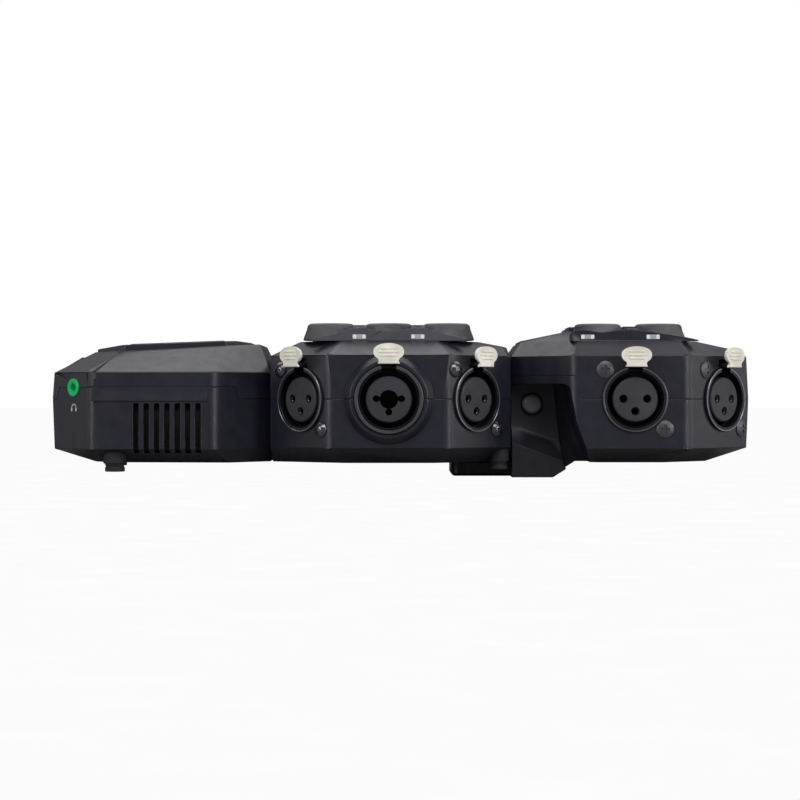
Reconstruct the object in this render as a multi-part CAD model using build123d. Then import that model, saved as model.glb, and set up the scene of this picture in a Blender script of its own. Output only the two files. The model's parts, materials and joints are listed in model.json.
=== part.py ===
from build123d import *

import os
from math import atan, cos, pi, sin, sqrt

# Portable field recorder with a clip-on input capsule, lying on its back.
#
# X runs along the length, from the transport-key end to the capsule's free end.  Y runs across, and -Y is
# the side with the headphone jack.  Z is up, out of the screen side.  The origin is at the bottom centre of
# the whole.  Everything is in millimetres.

# ---------------------------------------------------------------- driving dimensions
WALL = 2.4                 # thickness of every moulded shell
BASE_Z = 5.5               # flat underside of the cases
SOCKET_Z = 27.8            # height of every socket axis
SEAM_Z = 27.9              # main parting line
SEAM_HIGH_Z = 32.1         # raised parting line beside the screen
DECK_Z = 48.3              # flat top of the input section and of the capsule
KNOB_TOP_Z = 54.7
CORNER_R = 5.5             # of the standing edges between the side facets
HIP_R = 4.0                # of the slanting edges over them

# Half outlines (x, half width) from the key end to the capsule end, at the levels named.
SCREEN_SIDE = [(-123.8, 33.0), (-108.2, 48.5), (-65.0, 48.5), (-46.0, 30.0)]
SCREEN_BASE = [(-109.3, 26.0), (-103.5, 36.5), (-60.5, 37.5), (-46.5, 24.5)]
SCREEN_DRAFT = [(-123.0, 33.8), (-108.2, 48.5), (-65.0, 48.5), (-46.0, 30.0)]
SCREEN_TOP = [(-110.5, 20.0), (-99.2, 28.0), (-62.2, 28.0), (-50.6, 20.0)]
SCREEN_SIDE_Z = (10.3, 37.4)
SCREEN_TOP_Z = 44.9        # height of the screen deck at its low end
SCREEN_RISE = 0.0476       # its slope along X
PANEL_TOP = [(-109.6, 46.0), (-99.7, 47.4), (-59.0, 48.9), (-53.6, 48.2), (-52.2, 47.2)]
PANEL_SIDE = [(-109.6, 19.6), (-98.8, 27.3), (-62.6, 27.3), (-52.2, 19.9)]

INPUT_SIDE = [(-46.0, 37.0), (-24.8, 58.2), (17.1, 58.2), (39.3, 36.0)]
INPUT_BASE = [(-45.6, 26.0), (-19.5, 45.7), (11.9, 45.7), (38.6, 25.0)]
INPUT_MID = [(-39.2, 34.4), (-21.8, 51.8), (14.2, 51.7), (38.3, 27.6)]
INPUT_TOP = [(-35.5, 32.9), (-20.2, 48.2), (12.6, 48.2), (27.5, 33.3)]
INPUT_MID_Z = 46.5         # the deck slopes down to this at its capsule end
INPUT_SIDE_Z = (10.9, 43.2)

CAPSULE_SIDE = [(39.8, 29.2), (60.6, 50.0), (100.8, 50.0), (125.4, 25.4)]
CAPSULE_BASE = [(55.0, 22.0), (70.0, 37.5), (93.0, 37.5), (110.5, 20.0)]
CAPSULE_DRAFT = [(39.8, 29.2), (60.6, 50.0), (100.8, 50.0), (124.5, 26.3)]
CAPSULE_MID = [(41.5, 27.2), (61.5, 47.2), (99.7, 47.2), (120.0, 26.9)]
CAPSULE_TOP = [(43.4, 25.1), (62.5, 44.2), (98.4, 44.2), (104.8, 37.8)]
CAPSULE_SIDE_Z = (10.5, 43.1)
CAPSULE_MID_Z = 45.6       # the deck slopes down to this at its free end
ROOF = [(43.8, 46.0), (43.8, 49.0), (60.4, 52.5), (98.0, 52.5), (107.0, 48.0), (107.0, 46.0)]
ROOF_ACROSS = [(18.5, 46.0), (18.5, 48.3), (14.0, 52.5)]
HUMP = {"x0": 61.6, "x1": 99.0, "half": 9.0, "top": 54.4}

# Cable sockets.
XLR = {
    "bore": 9.9, "insert": 7.9, "body": 10.6, "rim": 11.4, "depth": 14.0, "proud": 0.9,
    "pin": 1.45, "circle": 4.15, "front": 0.3, "lift": 11.3, "stand": 4.2,
}
COMBO = {
    "bore": 10.6, "insert": 8.1, "body": 11.9, "rim": 11.9, "depth": 20.0, "proud": 4.2,
    "pin": 1.15, "circle": 4.4, "front": 1.4, "lift": 12.2, "stand": 4.6,
}
PLUG_BORE_R = 3.2          # 6.35 mm jack in the middle of a combination socket
LOBE_WIDTH = 1.3           # slots that join it to the contact holes
LOBE_DEPTH = 6.0
SCREW_OFFSET = 10.4
SCREW = {"head": 2.8, "high": 2.1}              # domed, on the recorder
CAPSULE_SCREW = {"head": 3.1, "high": 1.0}      # flatter, on the capsule
TAB = {"width": 11.2, "height": 6.0, "neck": 7.6, "neck_high": 1.1, "thick": 1.3}
TONGUE_WIDTH = 4.4
LATCH_PIN = {"r": 0.8, "drop": 0.75, "z": -3.2}  # height over the lift, and depth
COMBO_BOSS_R = 15.5

XLR_NEAR = [(-34.6, -45), (26.6, 45)]          # x of the centre and facet turn in degrees
COMBO_X = -3.85
CAPSULE_XLR_FRONT_X = 82.0
CAPSULE_XLR_END_X = 115.0

# Controls.
KNOB_X = (-24.5, -4.0, 16.5)
KNOB_Y = 35.2
CAPSULE_KNOB_X = (70.6, 92.2)
CAPSULE_KNOB_Y = 31.0
KNOB_SKIRT_R = 9.8
KNOB_TOP_R = 7.8
KNOB_SHAFT_R = 3.0
TRACK_Y = 16.0
KEY_X = -118.1             # middle of the transport keys on the sloping end
KEY_WIDTH = 8.2
KEY_LENGTH = 9.4
KEY_PITCH = 9.8
KEY_GAP = 0.25
KEY_PROUD = 0.5

# Headphone and line jacks.
JACK_X = -114.9
JACK_Z = 32.0              # headphone jack, near side
LINE_Z = 24.0              # line output jack, far side
JACK_R = 1.8
JACK_DEPTH = 13.0
JACK_BODY_R = 4.0
JACK_COLLAR_R = 2.7

# Batteries: four cells side by side along X, each lying along Y.
CELL_R = 7.15
CELL_BODY = 48.6
CELL_NUB = 1.4
CELL_X = -78.6             # middle of the row
CELL_PITCH = 14.5
CELL_Z = 16.2
DOOR = {"x0": -106.8, "x1": -50.6, "half": 26.0, "thick": 2.0}

# Details of the recorder's case.
VENT_COUNT = 7
VENT_PITCH = 3.62
VENT_X0 = -92.3
VENT_WIDTH = 1.8
VENT_Z = (9.0, 26.4)
BAND_X = (-107.9, -67.6)   # raised strip under the seam
BAND_Z = (27.2, 31.9)
BAND_PROUD = 0.55
TRIPOD_X = -3.5
TRIPOD_BORE_R = 2.55
TRIPOD_LENGTH = 8.5
FEET = [                   # x, y, radius, height of the hidden top, height of the sole
    (-100.4, -42.0, 4.05, 9.9, 2.4),
    (-108.0, 31.0, 3.0, 9.4, 2.4),
    (35.2, -34.0, 3.4, 10.4, 3.0),
    (35.2, 34.0, 3.4, 10.4, 3.0),
]
CASE_SCREWS = [(-41.0, 21.0), (20.5, 31.0), (-24.0, 33.0)]
CARD_X = (-92.0, -68.0)
CARD_Z = (14.0, 25.0)
CARD_HINGE = (48.2, 14.9)  # y and z
SWITCH_X = -57.0
SWITCH_Z = 22.0
USB_Z = 20.0
LENS_SIZE = (34.0, 46.0)
LENS_X = -80.5
SEAM_PROFILE = [
    (-140, SEAM_Z), (-121.9, SEAM_Z), (-120.9, SEAM_HIGH_Z), (-58.2, SEAM_HIGH_Z), (-57.2, SEAM_Z),
    (50, SEAM_Z), (50, 70), (-140, 70),
]

# Knob guards: (x, height over the deck) along the rim, and (x, width) of the posts behind it.
GUARD_THICK = 1.9
GUARD_Y = -47.4
GUARD_HALF = [(-31.2, 0.4), (-28.0, 1.55), (-23.8, 2.25), (-21.0, 3.1), (-17.3, 4.3), (-14.25, 4.5),
              (-11.0, 4.2), (-8.0, 3.75)]
GUARD_MIDDLE = (-4.0, 3.5)
GUARD_POSTS = [(-14.25, 5.0), (6.25, 5.0)]
GUARD_POST_TOP = 5.6
CAPSULE_GUARD_Y = -43.6
CAPSULE_GUARD_RIM = [(59.7, 0.4), (60.7, 3.3), (62.3, 3.8), (66.0, 3.8), (70.6, 3.2), (76.0, 3.8), (80.5, 4.0),
                     (85.5, 3.7), (92.2, 2.7), (99.5, 1.6), (105.0, 0.4)]
CAPSULE_GUARD_POSTS = [(81.4, 5.6)]
CAPSULE_GUARD_POST_TOP = 5.2
WINDOW = (4.8, 1.7)        # of the level indicators in the guards
WINDOW_HIGH = 1.5          # height of their middle over the deck
WINDOWS = (-14.25, 6.25)
CAPSULE_WINDOWS = (66.0, 89.0)

# Details of the capsule.
CAPSULE_SEAM_Z = 36.2
CAPSULE_SEAM = [
    (30, CAPSULE_SEAM_Z), (60.8, CAPSULE_SEAM_Z), (61.9, 35.0), (62.6, 28.9), (63.6, SEAM_Z), (140, SEAM_Z),
    (140, 70), (30, 70),
]
RECESS = [
    (36, -2), (36, 33.2), (57.4, 33.2), (58.8, 32.5), (59.6, 31.0), (60.1, 27.4), (61.5, 20.0), (64.0, 13.2),
    (66.6, 7.0), (71.0, -2),
]
RECESS_WALL = [
    (36, -2), (36, 35.4), (60.0, 35.4), (61.6, 34.0), (62.3, 31.2), (62.6, 27.4), (63.9, 20.6), (66.3, 14.4),
    (69.0, 8.4), (74.0, -2),
]
BRACKET_PANEL_Y = 26.0
RECESS_Y = 21.5            # depth of the recess beyond the bracket's cheeks
CHEEK_END = [(55.3, 33.6), (58.4, 4.0)]
BRACKET_FLARE_Y = 33.0
TONGUE = {"x0": 18.6, "half": 18.0, "top": 5.1}
PLUG_HALF = 17.0           # multi-way plug between capsule and recorder
PLUG_Z = (20.0, 31.0)
BUTTON_X = 47.4
BUTTON_Z = 26.2
BUTTON_R = 3.6

MIDDLE_X = 0.800           # x of the middle of the whole on the datum used above


# ---------------------------------------------------------------- shape helpers
def ring_of(half, z):
    """The closed outline of a half outline, mirrored over Y; z is a height or a function of x."""
    height = z if callable(z) else (lambda x: z)
    near = [Vector(x, -w, height(x)) for x, w in half]
    far = [Vector(x, w, height(x)) for x, w in reversed(half)]
    return Wire.make_polygon(near + far, close=True)


def tower(*levels):
    """One solid through (half outline, z) levels, with flat or ruled sides."""
    rings = [ring_of(half, z) for half, z in levels]
    body = None
    for low, high in zip(rings, rings[1:]):
        slab = Solid.make_loft([low, high], ruled=True)
        body = slab if body is None else body.fuse(slab)
    return body


def inset(half, t):
    """The half outline moved in by t on every side, its end edges included."""
    lines = []
    pts = [(half[0][0], 0.0)] + list(half) + [(half[-1][0], 0.0)]
    for (x0, w0), (x1, w1) in zip(pts, pts[1:]):
        length = sqrt((x1 - x0) ** 2 + (w1 - w0) ** 2)
        nx, nw = (w1 - w0) / length, -(x1 - x0) / length
        lines.append((nx, nw, nx * x0 + nw * w0 + t))
    out = []
    for (a, b, c), (d, e, f) in zip(lines, lines[1:]):
        det = a * e - b * d
        out.append(((c * e - b * f) / det, (a * f - c * d) / det))
    return out


def box(x0, x1, y0, y1, z0, z1):
    return Pos((x0 + x1) / 2, (y0 + y1) / 2, (z0 + z1) / 2) * Box(x1 - x0, y1 - y0, z1 - z0)


def profile_xz(points, y0, y1):
    """A closed (x, z) outline extruded from y0 to y1."""
    face = Face(Wire.make_polygon([Vector(x, y0, z) for x, z in points], close=True))
    return Solid.extrude(face, Vector(0, y1 - y0, 0))


def cyl(plane, r, z0, z1):
    """A cylinder on a plane's axis, from z0 to z1 along its normal."""
    return plane * Pos(0, 0, (z0 + z1) / 2) * Cylinder(r, z1 - z0)


def cyl_at(place, r, z0, z1):
    """A cylinder on a location's own z axis."""
    return place * Pos(0, 0, (z0 + z1) / 2) * Cylinder(r, z1 - z0)


def cyl_y(x, z, r, y0, y1):
    """A cylinder along Y."""
    return Pos(x, (y0 + y1) / 2, z) * Rot(90, 0, 0) * Cylinder(r, abs(y1 - y0))


def profile_yz(points, x0, x1):
    """A closed (y, z) outline extruded from x0 to x1."""
    face = Face(Wire.make_polygon([Vector(x0, y, z) for y, z in points], close=True))
    return Solid.extrude(face, Vector(x1 - x0, 0, 0))


def local_box(plane, w, h, z0, z1, x=0.0, y=0.0):
    return plane * Pos(x, y, (z0 + z1) / 2) * Box(w, h, z1 - z0)


def solids_of(shape):
    return list(shape.solids())


def biggest(shape):
    """The largest solid of a shape, leaving crumbs behind."""
    return max(solids_of(shape), key=lambda s: s.volume)


def common(shape, tool):
    """The solid that two shapes share."""
    return biggest(shape.intersect(tool))


def group(shapes):
    return Compound(children=[s for shape in shapes for s in solids_of(shape)])


def mirrored(shape):
    """The same piece on the far side."""
    return shape.mirror(Plane.XZ)


def facet_plane(x, y, turn, z=SOCKET_Z):
    """A plane on a side facet: local z is out of the facet, local y is up. Turn 0 faces -Y."""
    a = turn * pi / 180
    return Plane(origin=(x, y, z), x_dir=(cos(a), sin(a), 0), z_dir=(sin(a), -cos(a), 0))


def facet_y(half, x):
    """The near-side y of a half outline at x."""
    for (x0, w0), (x1, w1) in zip(half, half[1:]):
        if x0 <= x <= x1:
            return -(w0 + (w1 - w0) * (x - x0) / (x1 - x0))
    raise ValueError(x)


def screen_z(x):
    return SCREEN_TOP_Z + (x - SCREEN_TOP[0][0]) * SCREEN_RISE


# ---------------------------------------------------------------- planes that several parts share
XLR_PLANES = [facet_plane(x, facet_y(INPUT_SIDE, x), turn) for x, turn in XLR_NEAR]
COMBO_PLANE = facet_plane(COMBO_X, -INPUT_SIDE[1][1], 0)
CAPSULE_PLANES = [
    facet_plane(CAPSULE_XLR_FRONT_X, -CAPSULE_SIDE[1][1], 0),
    facet_plane(CAPSULE_XLR_END_X, facet_y(CAPSULE_SIDE, CAPSULE_XLR_END_X), 45),
]
JACK_PLANE = facet_plane(JACK_X, facet_y(SCREEN_SIDE, JACK_X), -45, JACK_Z)
LINE_PLANE = facet_plane(JACK_X, -facet_y(SCREEN_SIDE, JACK_X), -135, LINE_Z)
SWITCH_PLANE = facet_plane(SWITCH_X, -facet_y(SCREEN_SIDE, SWITCH_X), 135, SWITCH_Z)

SLOPE_LOW = (SCREEN_DRAFT[0][0], SCREEN_SIDE_Z[1])
SLOPE_HIGH = (SCREEN_TOP[0][0], SCREEN_TOP_Z)
SLOPE_ANGLE = atan((SLOPE_HIGH[1] - SLOPE_LOW[1]) / (SLOPE_HIGH[0] - SLOPE_LOW[0]))
KEY_PLANE = Plane(
    origin=(KEY_X, 0, SLOPE_LOW[1] + (KEY_X - SLOPE_LOW[0]) * sin(SLOPE_ANGLE) / cos(SLOPE_ANGLE)),
    x_dir=(cos(SLOPE_ANGLE), 0, sin(SLOPE_ANGLE)),
    z_dir=(-sin(SLOPE_ANGLE), 0, cos(SLOPE_ANGLE)),
)
PANEL_RISE = (PANEL_TOP[2][1] - PANEL_TOP[1][1]) / (PANEL_TOP[2][0] - PANEL_TOP[1][0])
DECK_ANGLE = atan(PANEL_RISE)
LENS_PLANE = Plane(
    origin=(LENS_X, 0, PANEL_TOP[1][1] + (LENS_X - PANEL_TOP[1][0]) * PANEL_RISE),
    x_dir=(cos(DECK_ANGLE), 0, sin(DECK_ANGLE)),
    z_dir=(-sin(DECK_ANGLE), 0, cos(DECK_ANGLE)),
)

# ---------------------------------------------------------------- outer forms
def span_of(edge):
    return edge.position_at(1) - edge.position_at(0)


def upright_edges(form):
    """The standing edges between the side facets, without the two pairs at the ends."""
    return [e for e in form.edges() if abs(span_of(e).Z) > 0.9 * e.length > 7.0 and abs(e.center().Y) > 40]


def hip_edges(form, low):
    """The slanting edges between the upper facets, above the height given."""
    return [e for e in form.edges()
            if 0.2 * e.length < abs(span_of(e).Z) <= 0.9 * e.length and e.length > 3.0
            and e.center().Z > low and abs(e.center().Y) > 25]


def rounded(form, hips_over=None):
    """An outer form with its standing edges rounded, and its hips over a height too."""
    form = form.fillet(CORNER_R, upright_edges(form))
    if hips_over is None:
        return form
    return form.fillet(HIP_R, hip_edges(form, hips_over))


def screen_form(t=0.0):
    """The screen section, moved in by t."""
    rise = (lambda x: screen_z(x) - t)
    return tower(
        (inset(SCREEN_BASE, t * 0.6), BASE_Z + t),
        (inset(SCREEN_DRAFT, t), SCREEN_SIDE_Z[0] + t * 0.4),
        (inset(SCREEN_SIDE, t), SEAM_Z),
        (inset(SCREEN_DRAFT, t), SCREEN_SIDE_Z[1] - t * 0.4),
        (inset(SCREEN_TOP, t * 0.6), rise),
    )


def screen_panel():
    """The raised plate that frames the display."""
    x0, x1 = PANEL_TOP[0][0], PANEL_TOP[-1][0]
    across = PANEL_SIDE[1][1] + 1
    wedge = profile_xz([(x0, 44.0)] + PANEL_TOP + [(x1, 44.0)], -across, across)
    return common(wedge, tower((PANEL_SIDE, 42.0), (PANEL_SIDE, 52.0)))


def input_form(t=0.0):
    return tower(
        (inset(INPUT_BASE, t * 0.6), BASE_Z + t),
        (inset(INPUT_SIDE, t), INPUT_SIDE_Z[0] + t * 0.4),
        (inset(INPUT_SIDE, t), INPUT_SIDE_Z[1] - t * 0.4),
        (inset(INPUT_MID, t * 0.8), INPUT_MID_Z - t * 0.8),
        (inset(INPUT_TOP, t * 0.6), DECK_Z - t),
    )


def capsule_roof():
    """The long rise along the middle of the capsule with a narrower block on it."""
    near = [(-y, z) for y, z in ROOF_ACROSS]
    rise = common(profile_xz(ROOF, -20, 20), profile_yz(near + ROOF_ACROSS[::-1], 40, 112))
    low, top = ROOF_ACROSS[-1][1] - 1.0, HUMP["top"]
    half = HUMP["half"]
    block = profile_xz(
        [(HUMP["x0"], low), (HUMP["x0"] + 0.4, top), (HUMP["x1"] - 2.0, top), (HUMP["x1"], low)], -half, half)
    return rise.fuse(block)


def capsule_form(t=0.0):
    return tower(
        (inset(CAPSULE_BASE, t * 0.6), BASE_Z + t),
        (inset(CAPSULE_DRAFT, t), CAPSULE_SIDE_Z[0] + t * 0.4),
        (inset(CAPSULE_SIDE, t), SEAM_Z),
        (inset(CAPSULE_DRAFT, t), CAPSULE_SIDE_Z[1] - t * 0.4),
        (inset(CAPSULE_MID, t * 0.8), CAPSULE_MID_Z - t * 0.8),
        (inset(CAPSULE_TOP, t * 0.6), DECK_Z - t),
    )


# ---------------------------------------------------------------- sockets
def socket_openings(plane, kind):
    """What a case loses for one panel socket: its body, its latch slot and its two screw holes."""
    cut = cyl(plane, kind["body"] + 0.1, -WALL * 3, 12)
    cut += local_box(plane, TONGUE_WIDTH + 1.0, 6.0, -WALL * 2.4, 12, y=kind["body"] + 0.6)
    return cut


def screw_planes(plane):
    return [plane * Pos(-SCREW_OFFSET, SCREW_OFFSET, 0), plane * Pos(SCREW_OFFSET, -SCREW_OFFSET, 0)]


def screw_holes(plane):
    return [cyl_at(p, 1.3, -WALL * 3, 3) for p in screw_planes(plane)]


def barrel(plane, kind):
    """The fixed shell of a socket, with a blind ring space and a slot for the latch."""
    shell = cyl(plane, kind["body"], -kind["depth"], 0.0) + cyl(plane, kind["rim"], 0.05, kind["proud"])
    shell += cyl(plane, kind["body"], 0.0, kind["proud"])
    shell -= cyl(plane, kind["bore"], -kind["depth"] + 2.0, kind["proud"] + 1)
    shell -= local_box(plane, TONGUE_WIDTH + 0.6, 7.0, -3.4, kind["proud"] + 1, y=kind["body"] - 0.6)
    return shell


def insert(plane, kind):
    """The insulator, with its three contact holes."""
    back = -kind["depth"] + 2.0
    front = kind["front"]
    reach = kind["circle"]
    body = cyl(plane, kind["insert"], back, front - 0.4)
    body += plane * Pos(0, 0, front - 0.2) * Cone(kind["insert"], kind["insert"] - 0.4, 0.4)
    for x, y in ((-reach, 0.2), (reach, 0.2), (0, -reach)):
        body -= cyl_at(plane * Pos(x, y, 0), kind["pin"], back + 2.0, front + 1)
    return body


def combo_insert(plane, kind):
    """The insulator of a combination socket, whose contact holes open into the jack bore in its middle."""
    front = kind["front"]
    body = insert(plane, kind) - cyl(plane, PLUG_BORE_R, -kind["depth"] + 3.5, front + 1)
    reach = kind["circle"]
    body -= local_box(plane, 2 * reach, LOBE_WIDTH, front - LOBE_DEPTH, front + 1, y=0.2)
    return body - local_box(plane, LOBE_WIDTH, reach, front - LOBE_DEPTH, front + 1, y=-reach / 2)


def tab_outline():
    """The push tab seen from the front: a wide oval on a short neck."""
    w, h = TAB["width"] / 2, TAB["height"] / 2
    foot = TAB["neck_high"]
    mid = foot + h
    oval = [(w * cos(t) * (1 - 0.06 * cos(2 * t)), mid + h * sin(t)) for t in [i * pi / 12 for i in range(24)]]
    with BuildSketch() as face:
        with BuildLine():
            Spline(*oval, periodic=True)
        make_face()
        with Locations((0, (foot + 1.0) / 2)):
            Rectangle(TAB["neck"], foot + 1.0)
    return face.sketch


def latch(plane, kind):
    """The push tab, its tongue and the pin behind the panel about which they tip."""
    lift, stand = kind["lift"], kind["stand"]
    tab = plane * Pos(0, lift, stand) * extrude(tab_outline(), TAB["thick"])
    tongue = local_box(plane, TONGUE_WIDTH, 1.3, LATCH_PIN["z"], stand + 0.6, y=lift + LATCH_PIN["drop"])
    pin = plane * Pos(0, lift + LATCH_PIN["drop"], LATCH_PIN["z"]) * Rot(0, 90, 0) * Cylinder(
        LATCH_PIN["r"], TONGUE_WIDTH)
    return tab + tongue + pin


def cross_screw(place, size):
    """A screw with a cross recess, its domed head on the surface at the place given."""
    r, high = size["head"], size["high"]
    rise = min(0.35, high * 0.4)
    ball = (r * r + (high - rise) ** 2) / (2 * (high - rise))
    dome = place * Pos(0, 0, high - ball) * Sphere(ball)
    head = common(cyl_at(place, r, 0.0, high + 0.5), dome)
    shank = cyl_at(place, 1.2, -5.0, 0.1)
    recess = place * Pos(0, 0, high) * Box(r * 1.0, r * 0.26, high * 0.9)
    recess += place * Pos(0, 0, high) * Box(r * 0.26, r * 1.0, high * 0.9)
    return head + shank - recess


# ---------------------------------------------------------------- cases of the recorder
def key_places():
    return [KEY_PLANE * Pos(0, KEY_PITCH * (i - 2), 0) for i in range(5)]


def key_cap(place, width, length, proud, depth=3.4):
    """A push key with a stem through the case and a wider flange that keeps it in."""
    cap = place * Pos(0, 0, (proud - depth) / 2) * Box(length, width, proud + depth)
    top = cap.edges().filter_by(lambda e: ((e.center() - Vector(place.position)).length < 20)
                                and all(abs(place_height(place, v) - proud) < 0.01 for v in e.vertices()))
    cap = fillet(top, 0.45)
    flange = place * Pos(0, 0, -depth - 0.5) * Box(length - 1.2, width + 1.0, 1.0)
    return cap + flange


def place_height(place, vertex):
    """How far a vertex stands over the place's own z = 0."""
    local = place.inverse() * Pos(vertex.X, vertex.Y, vertex.Z)
    return local.position.Z


def track_places():
    """The six track buttons, three along each side of the middle."""
    return [Location((x, side * TRACK_Y, DECK_Z)) for side in (-1, 1) for x in KNOB_X]


def knob_places(xs, y):
    return [Location((x, side * y, DECK_Z)) for side in (-1, 1) for x in xs]


def recorder_shell():
    """Both halves of the recorder's case before they are parted."""
    shell = rounded(screen_form(), SCREEN_SIDE_Z[1]).fuse(rounded(input_form(), INPUT_SIDE_Z[1]))
    hollow = screen_form(WALL).fuse(input_form(WALL))
    passage = box(-51, -42, -22, 22, 9.5, 38)
    boss = cyl(COMBO_PLANE, COMBO_BOSS_R, -1.0, 0.2)
    boss += COMBO_PLANE * Pos(0, 0, 1.7) * Cone(COMBO_BOSS_R, COMBO_BOSS_R - 2.0, 3.0)
    shell = shell.fuse(boss, mirrored(boss), screen_panel())
    shell = shell.cut(hollow, passage)
    for plane in XLR_PLANES:
        ears = socket_openings(plane, XLR)
        for hole in screw_holes(plane):
            ears += hole
        shell = shell.cut(ears, mirrored(ears))
    combo = socket_openings(COMBO_PLANE, COMBO)
    shell = shell.cut(combo, mirrored(combo))
    return shell


def recorder_openings():
    """Everything else that goes through the recorder's case."""
    cuts = []
    for place in key_places():
        cuts.append(place * Box(KEY_LENGTH + 2 * KEY_GAP, KEY_WIDTH + 2 * KEY_GAP, 7))
    for place in track_places():
        cuts.append(place * Box(9.0 + 2 * KEY_GAP, 5.0 + 2 * KEY_GAP, 8))
    for place in knob_places(KNOB_X, KNOB_Y):
        cuts.append(cyl_at(place, KNOB_SHAFT_R + 0.3, -5, 2))
    cuts.append(LENS_PLANE * Pos(0, 0, 0.4) * Box(LENS_SIZE[0] + 0.4, LENS_SIZE[1] + 0.4, 3.2))
    cuts.append(LENS_PLANE * Pos(0, 0, -2.5) * Box(LENS_SIZE[0] - 4, LENS_SIZE[1] - 4, 7))
    for i in range(VENT_COUNT):
        x = VENT_X0 + i * VENT_PITCH
        cuts.append(box(x - VENT_WIDTH / 2, x + VENT_WIDTH / 2, -50, -43.5, *VENT_Z))
    cuts.append(cyl(JACK_PLANE, JACK_COLLAR_R + 0.1, -4, 3))
    cuts.append(cyl(LINE_PLANE, JACK_COLLAR_R + 0.1, -4, 3))
    cuts.append(box(DOOR["x0"], DOOR["x1"], -DOOR["half"], DOOR["half"], 4, BASE_Z + 3.2))
    cuts.append(Pos(TRIPOD_X, 0, BASE_Z + 2) * Cylinder(5.0, 8))
    cuts.append(box(36, 42, -PLUG_HALF - 0.5, PLUG_HALF + 0.5, PLUG_Z[0] - 0.5, PLUG_Z[1] + 0.5))
    cuts.append(box(CARD_X[0], CARD_X[1], 43, 50, *CARD_Z))
    cuts.append(SWITCH_PLANE * Box(11.0, 3.6, 8))
    cuts.append(Pos(-121, 0, USB_Z) * Box(8, 9.4, 3.7))
    return cuts


def part_at(shell, profile):
    """Parts a shell along a seam profile: (upper, lower)."""
    tool = profile_xz(profile, -70, 70)
    return shell.intersect(tool), shell.cut(tool)


def recorder_cases():
    shell = recorder_shell()
    shell = shell.cut(*recorder_openings())
    band = profile_yz([(-48.3, BAND_Z[1]), (-48.5, BAND_Z[1]), (-48.5 - BAND_PROUD, BAND_Z[0] + 0.3),
                       (-48.5 - BAND_PROUD, BAND_Z[0]), (-48.3, BAND_Z[0])], BAND_X[0], BAND_X[1])
    upper, lower = part_at(shell, SEAM_PROFILE)
    lower = biggest(lower).fuse(band, mirrored(band))
    outer = screen_form().fuse(input_form())
    for x, y, r, top, _ in FEET:
        lower = lower.fuse(common(cyl_at(Pos(x, y, 0), r + 1.4, BASE_Z - 1, top + 1.4), outer))
        lower = lower.cut(cyl_at(Pos(x, y, 0), r + 0.05, 0.0, top + 0.05))
    return biggest(upper), biggest(lower)


# ---------------------------------------------------------------- knobs and their guards
def knob(place):
    """A dial with a flared side, a dished top and a pointer groove, on a short shaft."""
    height = KNOB_TOP_Z - DECK_Z
    skirt = [(KNOB_SKIRT_R, 0.9), (KNOB_SKIRT_R - 0.75, 3.0), (KNOB_SKIRT_R - 1.4, height - 1.3)]
    rim = KNOB_TOP_R - 1.0
    with BuildSketch(Plane.XZ) as half:
        with BuildLine():
            Polyline((0, -4.2), (KNOB_SHAFT_R, -4.2), (KNOB_SHAFT_R, 0.35), (KNOB_SKIRT_R, 0.35), skirt[0])
            Spline(*skirt)
            Spline(skirt[-1], (KNOB_TOP_R, height - 0.35), (rim, height))
            Polyline((rim, height), (rim - 0.8, height - 0.5), (0, height - 0.9))
            Line((0, height - 0.9), (0, -4.2))
        make_face()
    body = revolve(half.sketch, axis=Axis.Z)
    groove = Pos(0, 4.2, height - 0.6) * Box(0.9, 4.0, 1.0)
    return place * (body - groove)


def guard(rim, y_front):
    """The wavy wall in front of a row of knobs: high between them, low in front of each."""
    x0, x1 = rim[0][0], rim[-1][0]
    points = [(x, DECK_Z + high) for x, high in rim]
    with BuildSketch(Plane.XZ) as wall:
        with BuildLine():
            Spline(*points)
            Polyline(points[-1], (x1, DECK_Z), (x0, DECK_Z), points[0])
        make_face()
    body = extrude(wall.sketch, GUARD_THICK)
    return Pos(0, y_front + GUARD_THICK, 0) * body


def guard_post(x, width, y_front, high):
    """A post behind a guard, in the hollow between two knobs."""
    y0 = y_front + GUARD_THICK - 0.05
    post = box(x - width / 2, x + width / 2, y0, y0 + 3.6, DECK_Z, DECK_Z + high)
    return fillet(post.edges().filter_by(Axis.Z), 0.6)


def window_at(x, y_front, clearance=0.0):
    """A level indicator window through a guard, or with a clearance the light piece that fills it."""
    y = y_front + GUARD_THICK / 2
    deep = GUARD_THICK + 1 if clearance == 0 else GUARD_THICK - 0.2
    return Pos(x, y, DECK_Z + WINDOW_HIGH) * Box(WINDOW[0] - clearance, deep, WINDOW[1] - clearance)


def knob_guards():
    centre, high = GUARD_MIDDLE
    far_half = [(2 * centre - x, h) for x, h in reversed(GUARD_HALF)]
    wall = guard(GUARD_HALF + [(centre, high)] + far_half, GUARD_Y)
    for x, width in GUARD_POSTS:
        wall += guard_post(x, width, GUARD_Y, GUARD_POST_TOP)
    for x in WINDOWS:
        wall -= window_at(x, GUARD_Y)
    return group([wall, mirrored(wall)])


def capsule_guards():
    wall = guard(CAPSULE_GUARD_RIM, CAPSULE_GUARD_Y)
    for x, width in CAPSULE_GUARD_POSTS:
        wall += guard_post(x, width, CAPSULE_GUARD_Y, CAPSULE_GUARD_POST_TOP)
    for x in CAPSULE_WINDOWS:
        wall -= window_at(x, CAPSULE_GUARD_Y)
    return wall


def indicator_windows(xs, y_front):
    near = [window_at(x, y_front, 0.06) for x in xs]
    return group(near + [mirrored(piece) for piece in near])


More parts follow.
